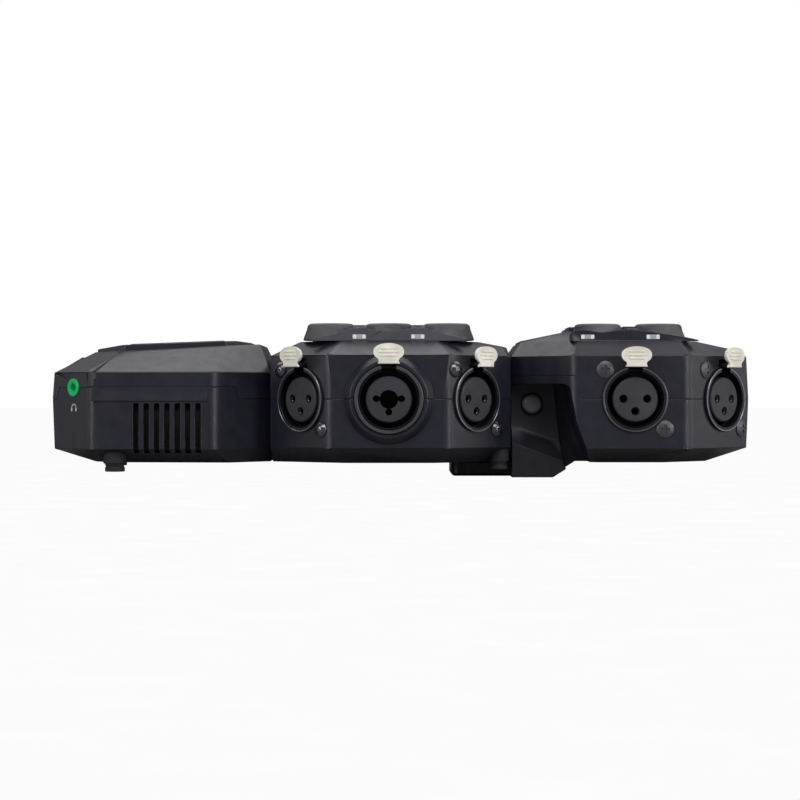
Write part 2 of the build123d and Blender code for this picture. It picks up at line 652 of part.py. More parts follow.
# ---------------------------------------------------------------- capsule
def bracket_ring(x, panel_z, flare_z):
    near = [(0, 0), (-BRACKET_FLARE_Y, 0), (-BRACKET_FLARE_Y, flare_z), (-BRACKET_PANEL_Y, panel_z),
            (-BRACKET_PANEL_Y, 33.5), (0, 33.5)]
    far = [(-y, z) for y, z in near[-2:0:-1]]
    return Wire.make_polygon([Vector(x, y, z) for y, z in near + far], close=True)


def bracket():
    """The neck under the capsule's inner end: flat cheeks with the release buttons, flared at the foot."""
    body = Solid.make_loft([bracket_ring(39.8, 19.1, 12.5), bracket_ring(59.2, 12.6, 5.4)], ruled=True)
    beyond = profile_xz(CHEEK_END + [(70.0, -2.0), (70.0, 33.6)], -RECESS_Y - 20, -RECESS_Y)
    body = body.cut(beyond, mirrored(beyond))
    inner = [(54.9, 33.4), (66.0, 33.4), (66.0, 7.5), (62.5, 5.0), (54.9, 0.3)]
    body = body.fuse(profile_xz(inner, -RECESS_Y, RECESS_Y))
    wedge = profile_xz([(54.5, -1), (54.5, 0.0), (62.5, 5.0), (68.0, 8.4), (68.0, -1)], -40, 40)
    body = body.cut(wedge)
    core = box(42.4, 52.8, -23.2, 23.2, 6.8, 32.0) + box(52.0, 60.0, WALL - RECESS_Y, RECESS_Y - WALL, 6.8, 32.0)
    tongue = box(TONGUE["x0"], 44.0, -TONGUE["half"], TONGUE["half"], 0.0, TONGUE["top"])
    corner = tongue.edges().filter_by(Axis.Z).group_by(Axis.X)[0]
    tongue = fillet(corner, 3.0)
    tongue = chamfer(tongue.edges().group_by(Axis.Z)[0].sort_by(Axis.X)[:1], 0.8)
    return body.cut(core).fuse(tongue)


def capsule_cases():
    inner = RECESS_Y - WALL
    pocket = profile_xz(RECESS, -60, -RECESS_Y).fuse(profile_xz(RECESS, RECESS_Y, 60))
    pocket_wall = profile_xz(RECESS_WALL, -60, -inner).fuse(profile_xz(RECESS_WALL, inner, 60))
    shell = rounded(capsule_form())
    shell = shell.cut(pocket, profile_xz([(30, -5), (30, 33.2), (57, 33.2), (57, -5)], -60, 60))
    hollow = capsule_form(WALL).cut(pocket_wall, box(30, 60.0, -60, 60, -5, 35.4))
    shell = shell.cut(hollow).fuse(capsule_roof().cut(hollow))
    for plane in CAPSULE_PLANES:
        cuts = socket_openings(plane, XLR)
        for hole in screw_holes(plane):
            cuts += hole
        shell = shell.cut(cuts, mirrored(cuts))
    for place in knob_places(CAPSULE_KNOB_X, CAPSULE_KNOB_Y):
        shell = shell.cut(cyl_at(place, KNOB_SHAFT_R + 0.3, -5, 2))
    upper, lower = part_at(shell, CAPSULE_SEAM)
    wall = capsule_guards()
    upper = biggest(upper).fuse(wall, mirrored(wall))
    neck = bracket().cut(shell)
    lower = biggest(lower).fuse(neck)
    for side in (-1, 1):
        lower = lower.cut(cyl_y(BUTTON_X, BUTTON_Z, BUTTON_R + 0.25, side * 20, side * 30))
    lower = lower.cut(box(38, 44, -PLUG_HALF + 2, PLUG_HALF - 2, PLUG_Z[0] + 2, PLUG_Z[1] - 2))
    return biggest(upper), biggest(lower)


def release_button(side):
    y = side * BRACKET_PANEL_Y
    body = cyl_y(BUTTON_X, BUTTON_Z, BUTTON_R, y + side * 2.2, y - side * 3.2)
    edge = body.edges().filter_by(GeomType.CIRCLE).sort_by(lambda e: side * e.center().Y)[-1:]
    body = fillet(edge, 1.4)
    flange = cyl_y(BUTTON_X, BUTTON_Z, BUTTON_R + 1.0, y - side * 4.8, y - side * 5.8)
    stem = cyl_y(BUTTON_X, BUTTON_Z, BUTTON_R, y - side * 3.1, y - side * 5.0)
    return body + stem + flange


# ---------------------------------------------------------------- small parts
def rubber_foot(x, y, r, top, sole):
    """A foot pressed up into the case, with a narrower ribbed sole."""
    low_r = r * 0.86
    foot = cyl_at(Pos(x, y, 0), r, sole + 2.8, top)
    foot += cyl_at(Pos(x, y, 0), low_r, sole, sole + 2.9)
    groove = cyl_at(Pos(x, y, 0), r + 1, sole + 1.7, sole + 2.1) - cyl_at(
        Pos(x, y, 0), low_r - 0.3, sole + 1.7, sole + 2.1)
    return foot - groove


def audio_jack(plane):
    """A jack whose collar shows in the case and whose body sits behind the wall."""
    collar = cyl(plane, JACK_COLLAR_R, -3.5, 0.3)
    body = cyl(plane, JACK_BODY_R, -JACK_DEPTH - 2, -WALL - 0.3)
    return collar + body - cyl(plane, JACK_R, -JACK_DEPTH, 1)


def display_lens():
    lens = LENS_PLANE * Pos(0, 0, -0.4) * Box(LENS_SIZE[0], LENS_SIZE[1], 1.4)
    return fillet(lens.edges().filter_by(lambda e: abs(e.tangent_at(0.5).dot(LENS_PLANE.z_dir)) > 0.9), 1.5)


def display_module():
    return LENS_PLANE * Pos(0, 0, -3.0) * Box(LENS_SIZE[0] - 5, LENS_SIZE[1] - 5, 3.0)


def pots_at(places):
    """The control under each knob."""
    return [place * Pos(0, 0, -6.6) * Box(9.5, 9.5, 4.0) for place in places]


def main_board():
    """The board over the batteries with its USB socket, and the control board with a pot under each knob."""
    board = box(-108, -49.4, -26.6, 26.6, 26.6, 28.2) + box(-49.5, 30, -20, 20, 26.6, 28.2)
    usb = Pos(-119.0, 0, USB_Z) * (Box(7.4, 8.9, 3.2) - Pos(-1.5, 0, 0) * Box(7.4, 7.9, 2.3))
    usb_board = box(-115.3, -108, -7, 7, USB_Z - 1.6, USB_Z + 1.6)
    deck = box(-31, 23, -24, 24, 39.6, 41.0)
    pots = pots_at(knob_places(KNOB_X, KNOB_Y))
    return group([board, usb, usb_board, deck] + pots + battery_contacts())


def cell_columns():
    """The x of each cell and the way its nub points along Y."""
    return [(CELL_X + CELL_PITCH * (i - 1.5), 1 if i % 2 else -1) for i in range(4)]


def battery_cells():
    cells = []
    for x, way in cell_columns():
        end = way * CELL_BODY / 2
        body = cyl_y(x, CELL_Z, CELL_R, -CELL_BODY / 2, CELL_BODY / 2)
        cells.append(body + cyl_y(x, CELL_Z, 2.6, end, end + way * CELL_NUB))
    return group(cells)


def battery_contacts():
    """A leaf at each end of each cell, soldered to the board above."""
    reach = CELL_BODY / 2 + CELL_NUB + 0.4
    leaf = Box(9.0, 0.5, 15.5)
    return [Pos(x, side * reach, CELL_Z + 3.2) * leaf for x, _ in cell_columns() for side in (-1, 1)]


def battery_door():
    gap = 0.2
    half = DOOR["half"] - gap
    plate = box(DOOR["x0"] + gap, DOOR["x1"] - gap, -half, half, BASE_Z, BASE_Z + DOOR["thick"])
    for i in range(4):
        plate -= box(-102.6 + i * 1.8, -101.8 + i * 1.8, -8, 8, BASE_Z - 1, BASE_Z + 0.5)
    return plate


def speaker():
    """A small oval driver behind the vent slots."""
    frame = box(-94.5, -67.5, -41.4, -38.0, 10.5, 25.0)
    magnet = cyl_y(-81.0, 17.8, 6.0, -38.1, -34.5)
    return frame + magnet


def tripod_insert():
    body = Pos(TRIPOD_X, 0, BASE_Z + TRIPOD_LENGTH / 2) * Cylinder(4.9, TRIPOD_LENGTH)
    flange = Pos(TRIPOD_X, 0, BASE_Z + 4.0) * Cylinder(7.0, 1.2)
    bore = Pos(TRIPOD_X, 0, BASE_Z + TRIPOD_LENGTH / 2) * Cylinder(TRIPOD_BORE_R, TRIPOD_LENGTH + 2)
    return body + flange - bore


def card_door():
    """The flap over the card slot, hinged along its lower edge."""
    gap = 0.3
    flap = box(CARD_X[0] + gap, CARD_X[1] - gap, 46.6, 48.5, CARD_Z[0] + gap, CARD_Z[1] - gap)
    flap -= box(-81.5, -78.5, 48.0, 49, CARD_Z[1] - 1.6, CARD_Z[1])
    knuckle = Pos((CARD_X[0] + CARD_X[1]) / 2, *CARD_HINGE) * Rot(0, 90, 0) * Cylinder(0.55, 20.0)
    return flap + knuckle


def power_switch():
    knob_body = SWITCH_PLANE * Pos(-2.0, 0, 0.2) * Box(5.0, 3.0, 2.2)
    ribs = [SWITCH_PLANE * Pos(-3.6 + i * 1.6, 0, 1.4) * Box(0.6, 2.4, 0.6) for i in range(3)]
    stem = SWITCH_PLANE * Pos(-2.0, 0, -2.4) * Box(2.4, 1.8, 3.6)
    body = knob_body + stem
    for rib in ribs:
        body += rib
    return body


def capsule_board():
    board = box(66, 104, -22, 22, 30.0, 31.6)
    plug = box(33.5, 42.0, -PLUG_HALF + 2.4, PLUG_HALF - 2.4, PLUG_Z[0] + 2.4, PLUG_Z[1] - 2.4)
    return group([board, plug] + pots_at(knob_places(CAPSULE_KNOB_X, CAPSULE_KNOB_Y)))


def case_screws():
    """Long screws that hold the halves of the case, their heads sunk in the underside."""
    out = []
    for x, y in CASE_SCREWS:
        for side in (-1, 1):
            head = Pos(x, side * y, BASE_Z + 0.6) * Cylinder(2.2, 1.2)
            head -= Pos(x, side * y, BASE_Z) * (Box(2.4, 0.6, 1.2) + Box(0.6, 2.4, 1.2))
            out.append(head + Pos(x, side * y, BASE_Z + 3.0) * Cylinder(1.1, 6.0))
    return out


# ---------------------------------------------------------------- write the parts
def sockets(planes, kind, make):
    """The same piece in each near-side socket and its mirror image on the far side."""
    near = [make(plane, kind) for plane in planes]
    return near + [mirrored(piece) for piece in near]


def build():
    upper, lower = recorder_cases()
    screws = case_screws()
    for screw in screws:
        x, y = screw.center().X, screw.center().Y
        seat = Pos(x, y, BASE_Z + 0.6) * Cylinder(2.3, 1.4)
        hole = Pos(x, y, BASE_Z + 3) * Cylinder(1.15, 8.0)
        lower = lower.cut(seat, hole)
    cap_upper, cap_lower = capsule_cases()
    parts = {
        "upper_case": upper,
        "lower_case": biggest(lower),
        "knob_guards": knob_guards(),
        "indicator_windows": indicator_windows(WINDOWS, GUARD_Y),
        "display_lens": display_lens(),
        "display_module": display_module(),
        "main_board": main_board(),
        "battery_cells": battery_cells(),
        "speaker": speaker(),
        "audio_jacks": group([audio_jack(JACK_PLANE), audio_jack(LINE_PLANE)]),
        "rubber_feet": group([rubber_foot(*foot) for foot in FEET]),
        "case_screws": group(screws),
        "tripod_insert": tripod_insert(),
        "battery_door": battery_door(),
        "power_switch": power_switch(),
        "card_door": card_door(),
        "capsule_upper_case": cap_upper,
        "capsule_lower_case": cap_lower,
        "capsule_board": capsule_board(),
        "capsule_indicator_windows": indicator_windows(CAPSULE_WINDOWS, CAPSULE_GUARD_Y),
        "release_button_near": release_button(-1),
        "release_button_far": release_button(1),
        "xlr_barrels": group(sockets(XLR_PLANES, XLR, barrel)),
        "combo_barrels": group(sockets([COMBO_PLANE], COMBO, barrel)),
        "socket_inserts": group(sockets(XLR_PLANES, XLR, insert) + sockets([COMBO_PLANE], COMBO, combo_insert)),
        "capsule_xlr_barrels": group(sockets(CAPSULE_PLANES, XLR, barrel)),
        "capsule_xlr_inserts": group(sockets(CAPSULE_PLANES, XLR, insert)),
    }
    near_screws = [cross_screw(place, SCREW) for plane in XLR_PLANES for place in screw_planes(plane)]
    parts["socket_screws"] = group(near_screws + [mirrored(s) for s in near_screws])
    near_screws = [cross_screw(place, CAPSULE_SCREW)
                   for plane in CAPSULE_PLANES for place in screw_planes(plane)]
    parts["capsule_socket_screws"] = group(near_screws + [mirrored(s) for s in near_screws])
    for name, place in zip(("record", "play", "stop", "rewind", "forward"), key_places()):
        parts[name + "_key"] = key_cap(place, KEY_WIDTH, KEY_LENGTH, KEY_PROUD)
    tracks = ("a", "1", "b", "c", "2", "d")
    for name, place in zip(tracks, track_places()):
        parts["track_button_" + name] = key_cap(place, 5.0, 9.0, 0.9)
    for name, place in zip(tracks, knob_places(KNOB_X, KNOB_Y)):
        parts["gain_knob_" + name] = knob(place)
    for name, place in zip("efgh", knob_places(CAPSULE_KNOB_X, CAPSULE_KNOB_Y)):
        parts["gain_knob_" + name] = knob(place)
    latches = dict(zip("ab", [latch(plane, XLR) for plane in XLR_PLANES]))
    latches["1"] = latch(COMBO_PLANE, COMBO)
    latches.update(dict(zip("ef", [latch(plane, XLR) for plane in CAPSULE_PLANES])))
    far_name = {"a": "c", "b": "d", "1": "2", "e": "g", "f": "h"}
    for name, piece in latches.items():
        parts["latch_" + name] = piece
        parts["latch_" + far_name[name]] = mirrored(piece)
    return parts


def to_middle(shape):
    """The piece moved so that the middle of the whole is over the origin."""
    moved = [Pos(-MIDDLE_X, 0, 0) * s for s in solids_of(shape)]
    return moved[0] if len(moved) == 1 else group(moved)


os.makedirs("parts", exist_ok=True)
for name, shape in build().items():
    export_step(to_middle(shape), f"parts/{name}.step")
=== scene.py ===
import json
from math import atan2, cos, pi, radians, sin

import bmesh
import bpy
from mathutils import Matrix, Vector
from mathutils.bvhtree import BVHTree


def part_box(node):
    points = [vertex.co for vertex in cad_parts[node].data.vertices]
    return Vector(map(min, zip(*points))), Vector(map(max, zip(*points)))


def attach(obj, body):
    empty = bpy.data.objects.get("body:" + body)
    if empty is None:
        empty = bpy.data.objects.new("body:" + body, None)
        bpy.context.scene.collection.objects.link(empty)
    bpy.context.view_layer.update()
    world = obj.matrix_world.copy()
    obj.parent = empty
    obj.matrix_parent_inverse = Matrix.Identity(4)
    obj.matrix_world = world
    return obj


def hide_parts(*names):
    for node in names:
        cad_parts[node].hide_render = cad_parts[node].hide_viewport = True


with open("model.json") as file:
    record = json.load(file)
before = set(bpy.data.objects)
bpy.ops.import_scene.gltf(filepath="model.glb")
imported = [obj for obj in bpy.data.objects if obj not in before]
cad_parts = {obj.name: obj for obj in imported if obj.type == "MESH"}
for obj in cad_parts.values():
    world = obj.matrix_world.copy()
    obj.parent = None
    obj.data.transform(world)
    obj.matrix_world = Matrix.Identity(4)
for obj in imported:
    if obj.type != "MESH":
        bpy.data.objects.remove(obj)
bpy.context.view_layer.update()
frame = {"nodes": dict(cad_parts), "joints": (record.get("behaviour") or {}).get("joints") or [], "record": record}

# ------------------------------------------------------------------ measures, in metres, in the row frame
MM = 0.001
RECORD = frame["record"]
NODES = frame["nodes"]
MOUNTS = {mount["name"]: mount for mount in RECORD["mounts"]}
JOINTS = {joint["name"]: joint for joint in frame["joints"]}
BODY_OF = {node: body for body, nodes in RECORD["behaviour"]["bodies"].items() for node in nodes}
UP = Vector((0, 0, 1))
DECK_Z = JOINTS["gain_knob_a_hinge"]["pos_m"][2]
# The round boss of a combination socket: its middle, its radius and where its front begins, in millimetres.
BOSS_X, BOSS_Z, BOSS_R, BOSS_Y = -4.65, 27.8, 15.5, 58.4
BOSS_SLACK = 0.15
BOSS_EDGE = 1.1                # rounding of the boss, the widest one of the cases
# Rounding of the edges of the CAD nodes.
WELD = 2e-6                    # metres; points nearer to each other become one
PLANE_ANGLE = 0.6              # degrees; triangles that turn less belong to one plane
EDGE_ANGLE = 24                # degrees; edges that turn less are left alone
EDGE_ROOM = 0.42               # share of the room beside an edge that its rounding may take
BEVEL_STEPS = 3
BEVEL_REACH = 0.45             # how far a rounded point may leave the surface, as a share of the rounding
SMOOTH_ANGLE = 32              # degrees; edges that turn more stay sharp
FLAT_WEIGHT = 80               # pull of the large faces on the shading
# The camera, level with the sockets, looks along +Y.
CAMERA_X = -0.8 * MM
CAMERA_HEIGHT = 27.6 * MM
CAMERA_DISTANCE = 800 * MM
LENS_MM = 96.84
SENSOR_MM = 36.0


def frame_at(origin, out, up=UP):
    """The matrix of a plane: local z points out of it and local y is as near to up as it can be."""
    out = Vector(out).normalized()
    across = Vector(up).cross(out).normalized()
    m = Matrix.Identity(4)
    for i, axis in enumerate((across, out.cross(across), out)):
        for k in range(3):
            m[k][i] = axis[k]
    m.translation = Vector(origin)
    return m


def shift(x, y, z):
    return Matrix.Translation(Vector((x * MM, y * MM, z * MM)))


# ------------------------------------------------------------------ mesh helpers
def piece(name, bm, mat, body, smooth=30):
    """A new object from a bmesh, in the row frame, riding on a body."""
    bmesh.ops.recalc_face_normals(bm, faces=bm.faces)
    mesh = bpy.data.meshes.new(name)
    bm.to_mesh(mesh)
    bm.free()
    finish_mesh(mesh, smooth)
    mesh.materials.append(mat)
    obj = bpy.data.objects.new(name, mesh)
    bpy.context.collection.objects.link(obj)
    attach(obj, body)
    return obj


def finish_mesh(mesh, smooth):
    """Smooth shading with sharp edges over an angle in degrees."""
    for poly in mesh.polygons:
        poly.use_smooth = True
    mesh.set_sharp_from_angle(angle=radians(smooth))


def lathe(bm, profile, matrix, segments=72, closed=True, gap=0.0):
    """Turns a profile of (radius, height) in millimetres about a plane's axis.

    A gap, in degrees, leaves the turned shape open at its top.
    """
    spans = segments - 1 if gap else segments
    start = pi / 2 + radians(gap) / 2
    step = (2 * pi - radians(gap)) / spans
    turns = [start + step * k for k in range(segments)]
    rows = []
    for r, z in profile:
        points = [Vector((r * MM * cos(t), r * MM * sin(t), z * MM)) for t in turns]
        rows.append([bm.verts.new(matrix @ point) for point in points])
    pairs = list(zip(rows, rows[1:]))
    if closed:
        pairs.append((rows[-1], rows[0]))
    for low, high in pairs:
        for k in range(spans):
            n = (k + 1) % segments
            bm.faces.new((low[k], low[n], high[n], high[k]))
    if gap:
        bm.faces.new([row[0] for row in rows])
        bm.faces.new([row[-1] for row in rows[::-1]])


def slab(bm, outline, thick, matrix, edge=0.0):
    """A flat plate from an outline in millimetres, with its front edge bevelled."""
    low = [bm.verts.new(matrix @ Vector((x * MM, y * MM, 0))) for x, y in outline]
    high = [bm.verts.new(matrix @ Vector((x * MM, y * MM, thick * MM))) for x, y in outline]
    bm.faces.new(low[::-1])
    front = bm.faces.new(high)
    for k in range(len(low)):
        n = (k + 1) % len(low)
        bm.faces.new((low[k], low[n], high[n], high[k]))
    if edge:
        bmesh.ops.bevel(bm, geom=list(front.edges), offset=edge * MM, segments=2, profile=0.5, affect="EDGES")


def rounded_rect(w, h, r, steps=5):
    """The outline of a rounded rectangle, in millimetres."""
    points = []
    for cx, cy, start in ((w / 2 - r, h / 2 - r, 0), (r - w / 2, h / 2 - r, 90),
                          (r - w / 2, r - h / 2, 180), (w / 2 - r, r - h / 2, 270)):
        for i in range(steps + 1):
            a = radians(start + 90 * i / steps)
            points.append((cx + r * cos(a), cy + r * sin(a)))
    return points


def circle(r, count=32, x=0.0, y=0.0):
    """The outline of a circle about a point, in millimetres."""
    return [(x + r * cos(2 * pi * k / count), y + r * sin(2 * pi * k / count)) for k in range(count)]


def room_beside(edge):
    """How far an edge can be bevelled before it meets the end of an edge beside it."""
    along = (edge.verts[1].co - edge.verts[0].co).normalized()
    room = 1.0
    for vert in edge.verts:
        for other in vert.link_edges:
            if other == edge or other.calc_length() < 1e-7:
                continue
            direction = (other.other_vert(vert).co - vert.co).normalized()
            if abs(direction.dot(along)) < 0.9:
                room = min(room, other.calc_length())
    return room


def pull_in(mesh, surface, reach):
    """Puts the points that a bevel threw off a surface back on to it."""
    for vert in mesh.vertices:
        nearest, _, _, distance = surface.find_nearest(vert.co)
        if distance > reach:
            vert.co = nearest


def on_boss(edge):
    """Whether an edge runs round the front of the boss that carries a combination socket."""
    for vert in edge.verts:
        radius = Vector((vert.co.x - BOSS_X * MM, vert.co.z - BOSS_Z * MM)).length
        if abs(radius - BOSS_R * MM) >= BOSS_SLACK * MM or abs(vert.co.y) <= BOSS_Y * MM:
            return False
    return True


def weigh_edges(bm, width):
    """Gives each outer edge its share of the widest rounding, as far as there is room beside it."""
    weight = bm.edges.layers.float.new("bevel_weight_edge")
    for edge in bm.edges:
        if len(edge.link_faces) != 2 or not edge.is_convex or edge.calc_face_angle(0) < radians(EDGE_ANGLE):
            continue
        goal = BOSS_EDGE if on_boss(edge) else width
        edge[weight] = min(goal / BOSS_EDGE, EDGE_ROOM * room_beside(edge) / (BOSS_EDGE * MM))


def bevelled(node_name, bm):
    """A mesh from a bmesh, with its weighted edges rounded."""
    mesh = bpy.data.meshes.new("rough_" + node_name)
    bm.to_mesh(mesh)
    bm.free()
    rough = bpy.data.objects.new("rough_" + node_name, mesh)
    bpy.context.collection.objects.link(rough)
    bevel = rough.modifiers.new("bevel", "BEVEL")
    bevel.limit_method = "WEIGHT"
    bevel.width = BOSS_EDGE * MM
    bevel.segments = BEVEL_STEPS
    bevel.use_clamp_overlap = False
    baked = bpy.data.meshes.new_from_object(rough.evaluated_get(bpy.context.evaluated_depsgraph_get()))
    bpy.data.objects.remove(rough)
    baked.name = "fine_" + node_name
    return baked


def softened_mesh(node_name, width, whole):
    """A copy of a CAD node's mesh with its planes made whole, if they may be, and its outer edges rounded."""
    bm = bmesh.new()
    bm.from_mesh(NODES[node_name].data)
    surface = BVHTree.FromBMesh(bm)
    bmesh.ops.remove_doubles(bm, verts=bm.verts, dist=WELD)
    if whole:
        bmesh.ops.dissolve_limit(bm, angle_limit=radians(PLANE_ANGLE), verts=bm.verts, edges=bm.edges)
    weigh_edges(bm, width)
    mesh = bevelled(node_name, bm)
    widest = BOSS_EDGE if "case" in node_name else width
    pull_in(mesh, surface, BEVEL_REACH * widest * MM)
    finish_mesh(mesh, SMOOTH_ANGLE)
    return mesh


def softened(node_name, mat, width, whole=True):
    """An object with rounded outer edges that stands for a CAD node."""
    mesh = softened_mesh(node_name, width, whole)
    mesh.materials.clear()
    mesh.materials.append(mat)
    obj = bpy.data.objects.new("fine_" + node_name, mesh)
    bpy.context.collection.objects.link(obj)
    flat = obj.modifiers.new("flat_faces_stay_flat", "WEIGHTED_NORMAL")
    flat.keep_sharp = True
    flat.weight = FLAT_WEIGHT
    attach(obj, BODY_OF[node_name])
    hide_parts(node_name)
    return obj


# ------------------------------------------------------------------ materials
class Tree:
    """A material's node tree, with short calls."""

    def __init__(self, name):
        self.mat = bpy.data.materials.new(name)
        self.mat.use_nodes = True
        self.nodes = self.mat.node_tree.nodes
        self.links = self.mat.node_tree.links
        self.bsdf = self.nodes["Principled BSDF"]

    def set(self, **values):
        """Sets sockets of the Principled shader; an underscore in a name stands for a space."""
        for key, value in values.items():
            self.bsdf.inputs[key.replace("_", " ")].default_value = value

    def add(self, kind, **props):
        node = self.nodes.new("ShaderNode" + kind)
        for key, value in props.items():
            setattr(node, key, value)
        return node

    def link(self, a, b):
        self.links.new(a, b)

    def coords(self, scale=(1, 1, 1)):
        tex = self.add("TexCoord")
        mapping = self.add("Mapping")
        mapping.inputs["Scale"].default_value = scale
        self.link(tex.outputs["Object"], mapping.inputs["Vector"])
        return mapping.outputs["Vector"]

    def noise(self, scale, detail=3.0, rough=0.5, vector=None):
        node = self.add("TexNoise")
        node.inputs["Scale"].default_value = scale
        node.inputs["Detail"].default_value = detail
        node.inputs["Roughness"].default_value = rough
        self.link(vector or self.coords(), node.inputs["Vector"])
        return node.outputs["Fac"]

    def ramp(self, value, low, high, start=0.35, end=0.65):
        node = self.add("ValToRGB")
        node.color_ramp.elements[0].position = start
        node.color_ramp.elements[1].position = end
        node.color_ramp.elements[0].color = low
        node.color_ramp.elements[1].color = high
        self.link(value, node.inputs["Fac"])
        return node.outputs["Color"]

    def map_range(self, value, low, high, start=0.3, end=0.7):
        node = self.add("MapRange")
        node.inputs["From Min"].default_value = start
        node.inputs["From Max"].default_value = end
        node.inputs["To Min"].default_value = low
        node.inputs["To Max"].default_value = high
        self.link(value, node.inputs["Value"])
        return node.outputs["Result"]

    def mix(self, factor, first, second):
        node = self.add("MixShader")
        self.link(factor, node.inputs["Fac"])
        self.link(first, node.inputs[1])
        self.link(second, node.inputs[2])
        return node.outputs["Shader"]

    def bump(self, heights, distance):
        """Bumps stacked one on another: heights is a list of (value, strength)."""
        normal = None
        for value, strength in heights:
            node = self.add("Bump")
            node.inputs["Strength"].default_value = strength
            node.inputs["Distance"].default_value = distance
            self.link(value, node.inputs["Height"])
            if normal:
                self.link(normal, node.inputs["Normal"])
            normal = node.outputs["Normal"]
        self.link(normal, self.bsdf.inputs["Normal"])


def grey(v, blue):
    """A grey with its blue raised by a factor."""
    return (v, v, v * blue, 1.0)


# Depths of the surface relief, in metres.
GRAIN_DEPTH = 0.00006
LINE_DEPTH = 0.00003
BOARD_DEPTH = 0.00005
GLASS_DEPTH = 0.0001
PUNCH_DEPTH = 0.0002


def moulded(name, level, rough, grain=2600.0, relief=0.25, spread=0.12, blue=1.45, specular=0.5):
    """Moulded plastic: a slightly uneven tone, spark-eroded grain and soft blotches in its gloss."""
    t = Tree(name)
    tone = t.noise(90.0, 4.0)
    color = t.ramp(tone, grey(level * (1 - spread), blue), grey(level * (1 + spread), blue))
    t.link(color, t.bsdf.inputs["Base Color"])
    gloss = t.noise(240.0, 5.0, 0.6)
    t.link(t.map_range(gloss, rough - 0.05, rough + 0.06), t.bsdf.inputs["Roughness"])
    t.bump([(t.noise(grain, 2.0, 0.6), relief), (t.noise(grain * 0.28, 2.0), relief * 0.4)], GRAIN_DEPTH)
    t.set(Specular_IOR_Level=specular)
    return t.mat


def metal(name, color, rough, metallic=1.0, scratch=0.35):
    """Plated or painted metal with fine wear lines."""
    t = Tree(name)
    tone = t.noise(140.0, 5.0, 0.6)
    low = tuple(c * 0.82 for c in color[:3]) + (1.0,)
    high = tuple(min(1.0, c * 1.12) for c in color[:3]) + (1.0,)
    t.link(t.ramp(tone, low, high), t.bsdf.inputs["Base Color"])
    lines = t.noise(1.0, 6.0, 0.7, t.coords((900, 900, 4200)))
    t.link(t.map_range(lines, rough - 0.07, rough + 0.1), t.bsdf.inputs["Roughness"])
    t.bump([(lines, scratch)], LINE_DEPTH)
    t.set(Metallic=metallic)
    return t.mat


def painted(name, low, high, rough=0.4, glow=0.0, scale=300.0):
    """A printed or painted mark, with a little mottle."""
    t = Tree(name)
    tone = t.noise(scale, 3.0)
    t.link(t.ramp(tone, low, high), t.bsdf.inputs["Base Color"])
    t.bump([(tone, 0.1)], LINE_DEPTH)
    t.set(Roughness=rough)
    if glow:
        t.bsdf.inputs["Emission Color"].default_value = high
        t.bsdf.inputs["Emission Strength"].default_value = glow
    return t.mat


CASE = moulded("charcoal_case", 0.009, 0.39, blue=2.0)
GUARD = moulded("charcoal_guard", 0.068, 0.36, relief=0.15, blue=1.2)
DARK = moulded("black_plastic", 0.004, 0.55, blue=1.8, specular=0.25)
# Painted shade: a darker copy of the case plastic for the hollow beside the release buttons.
SHADED_RECESS = moulded("recess_painted_shade", 0.006, 0.5, blue=2.0, specular=0.4)
# Painted highlight: the release buttons are a much lighter copy of the charcoal plastic, standing in for their lit
# domes.
LIT_BUTTON = moulded("button_painted_highlight", 0.10, 0.4, relief=0.15, blue=1.15)
INSERT = moulded("insulator", 0.027, 0.6, grain=1700.0, relief=0.6, spread=0.25, blue=1.25)
KNOB = moulded("knob_rubber", 0.066, 0.5, grain=1500.0, relief=0.9, spread=0.45, blue=1.12)
KEY = moulded("key_plastic", 0.03, 0.4, relief=0.15)
RUBBER = moulded("foot_rubber", 0.012, 0.75, grain=1200.0, relief=0.4)
BARREL = metal("barrel_black", (0.02, 0.02, 0.026, 1), 0.36, 0.6)
# Paler metal: the real colour of the USB socket and the line-out bush, and a painted highlight where it rings the
# three-pin barrels.
PALE_METAL_AND_RIM_SHEEN = metal("rim_worn", (0.20, 0.20, 0.23, 1), 0.32, 1.0)
RIM_DARK = metal("rim_dark", (0.11, 0.11, 0.125, 1), 0.38, 0.8)
SCREW = metal("screw_black", (0.16, 0.16, 0.175, 1), 0.27, 1.0)
SCREW_GREY = metal("screw_grey", (0.085, 0.085, 0.092, 1), 0.42, 0.7)
TAB = metal("tab_ivory", (0.80, 0.77, 0.68, 1), 0.5, 0.0, scratch=0.15)
BRASS = metal("brass", (0.62, 0.5, 0.28, 1), 0.3)
# Painted shade: the contact sleeves are darkened so that the deep contact holes read dark.
SHADED_CONTACT = metal("contact_painted_shade", (0.09, 0.075, 0.06, 1), 0.35)
PRINT = painted("print_pale", (0.42, 0.42, 0.44, 1), (0.55, 0.55, 0.57, 1))
RED = painted("mark_red", (0.42, 0.012, 0.01, 1), (0.55, 0.02, 0.015, 1))
LIGHT_PIPE = painted("light_pipe", (0.34, 0.35, 0.37, 1), (0.42, 0.43, 0.45, 1), rough=0.25)
PIPE_END = painted("light_pipe_end", (0.75, 0.76, 0.78, 1), (0.82, 0.83, 0.85, 1), rough=0.3)
SCREEN_DIM = painted("screen_dim", (0.012, 0.018, 0.026, 1), (0.018, 0.026, 0.036, 1), rough=0.2)
SCREEN_LIT = painted("screen_lit", (0.28, 0.5, 0.62, 1), (0.36, 0.6, 0.72, 1), rough=0.3, glow=0.35)
# Painted light: the green jack collar glows a little, though it is no lamp.
GLOWING_GREEN = painted("jack_green_glow", (0.0, 0.30, 0.09, 1), (0.005, 0.45, 0.14, 1), rough=0.35, glow=0.12)


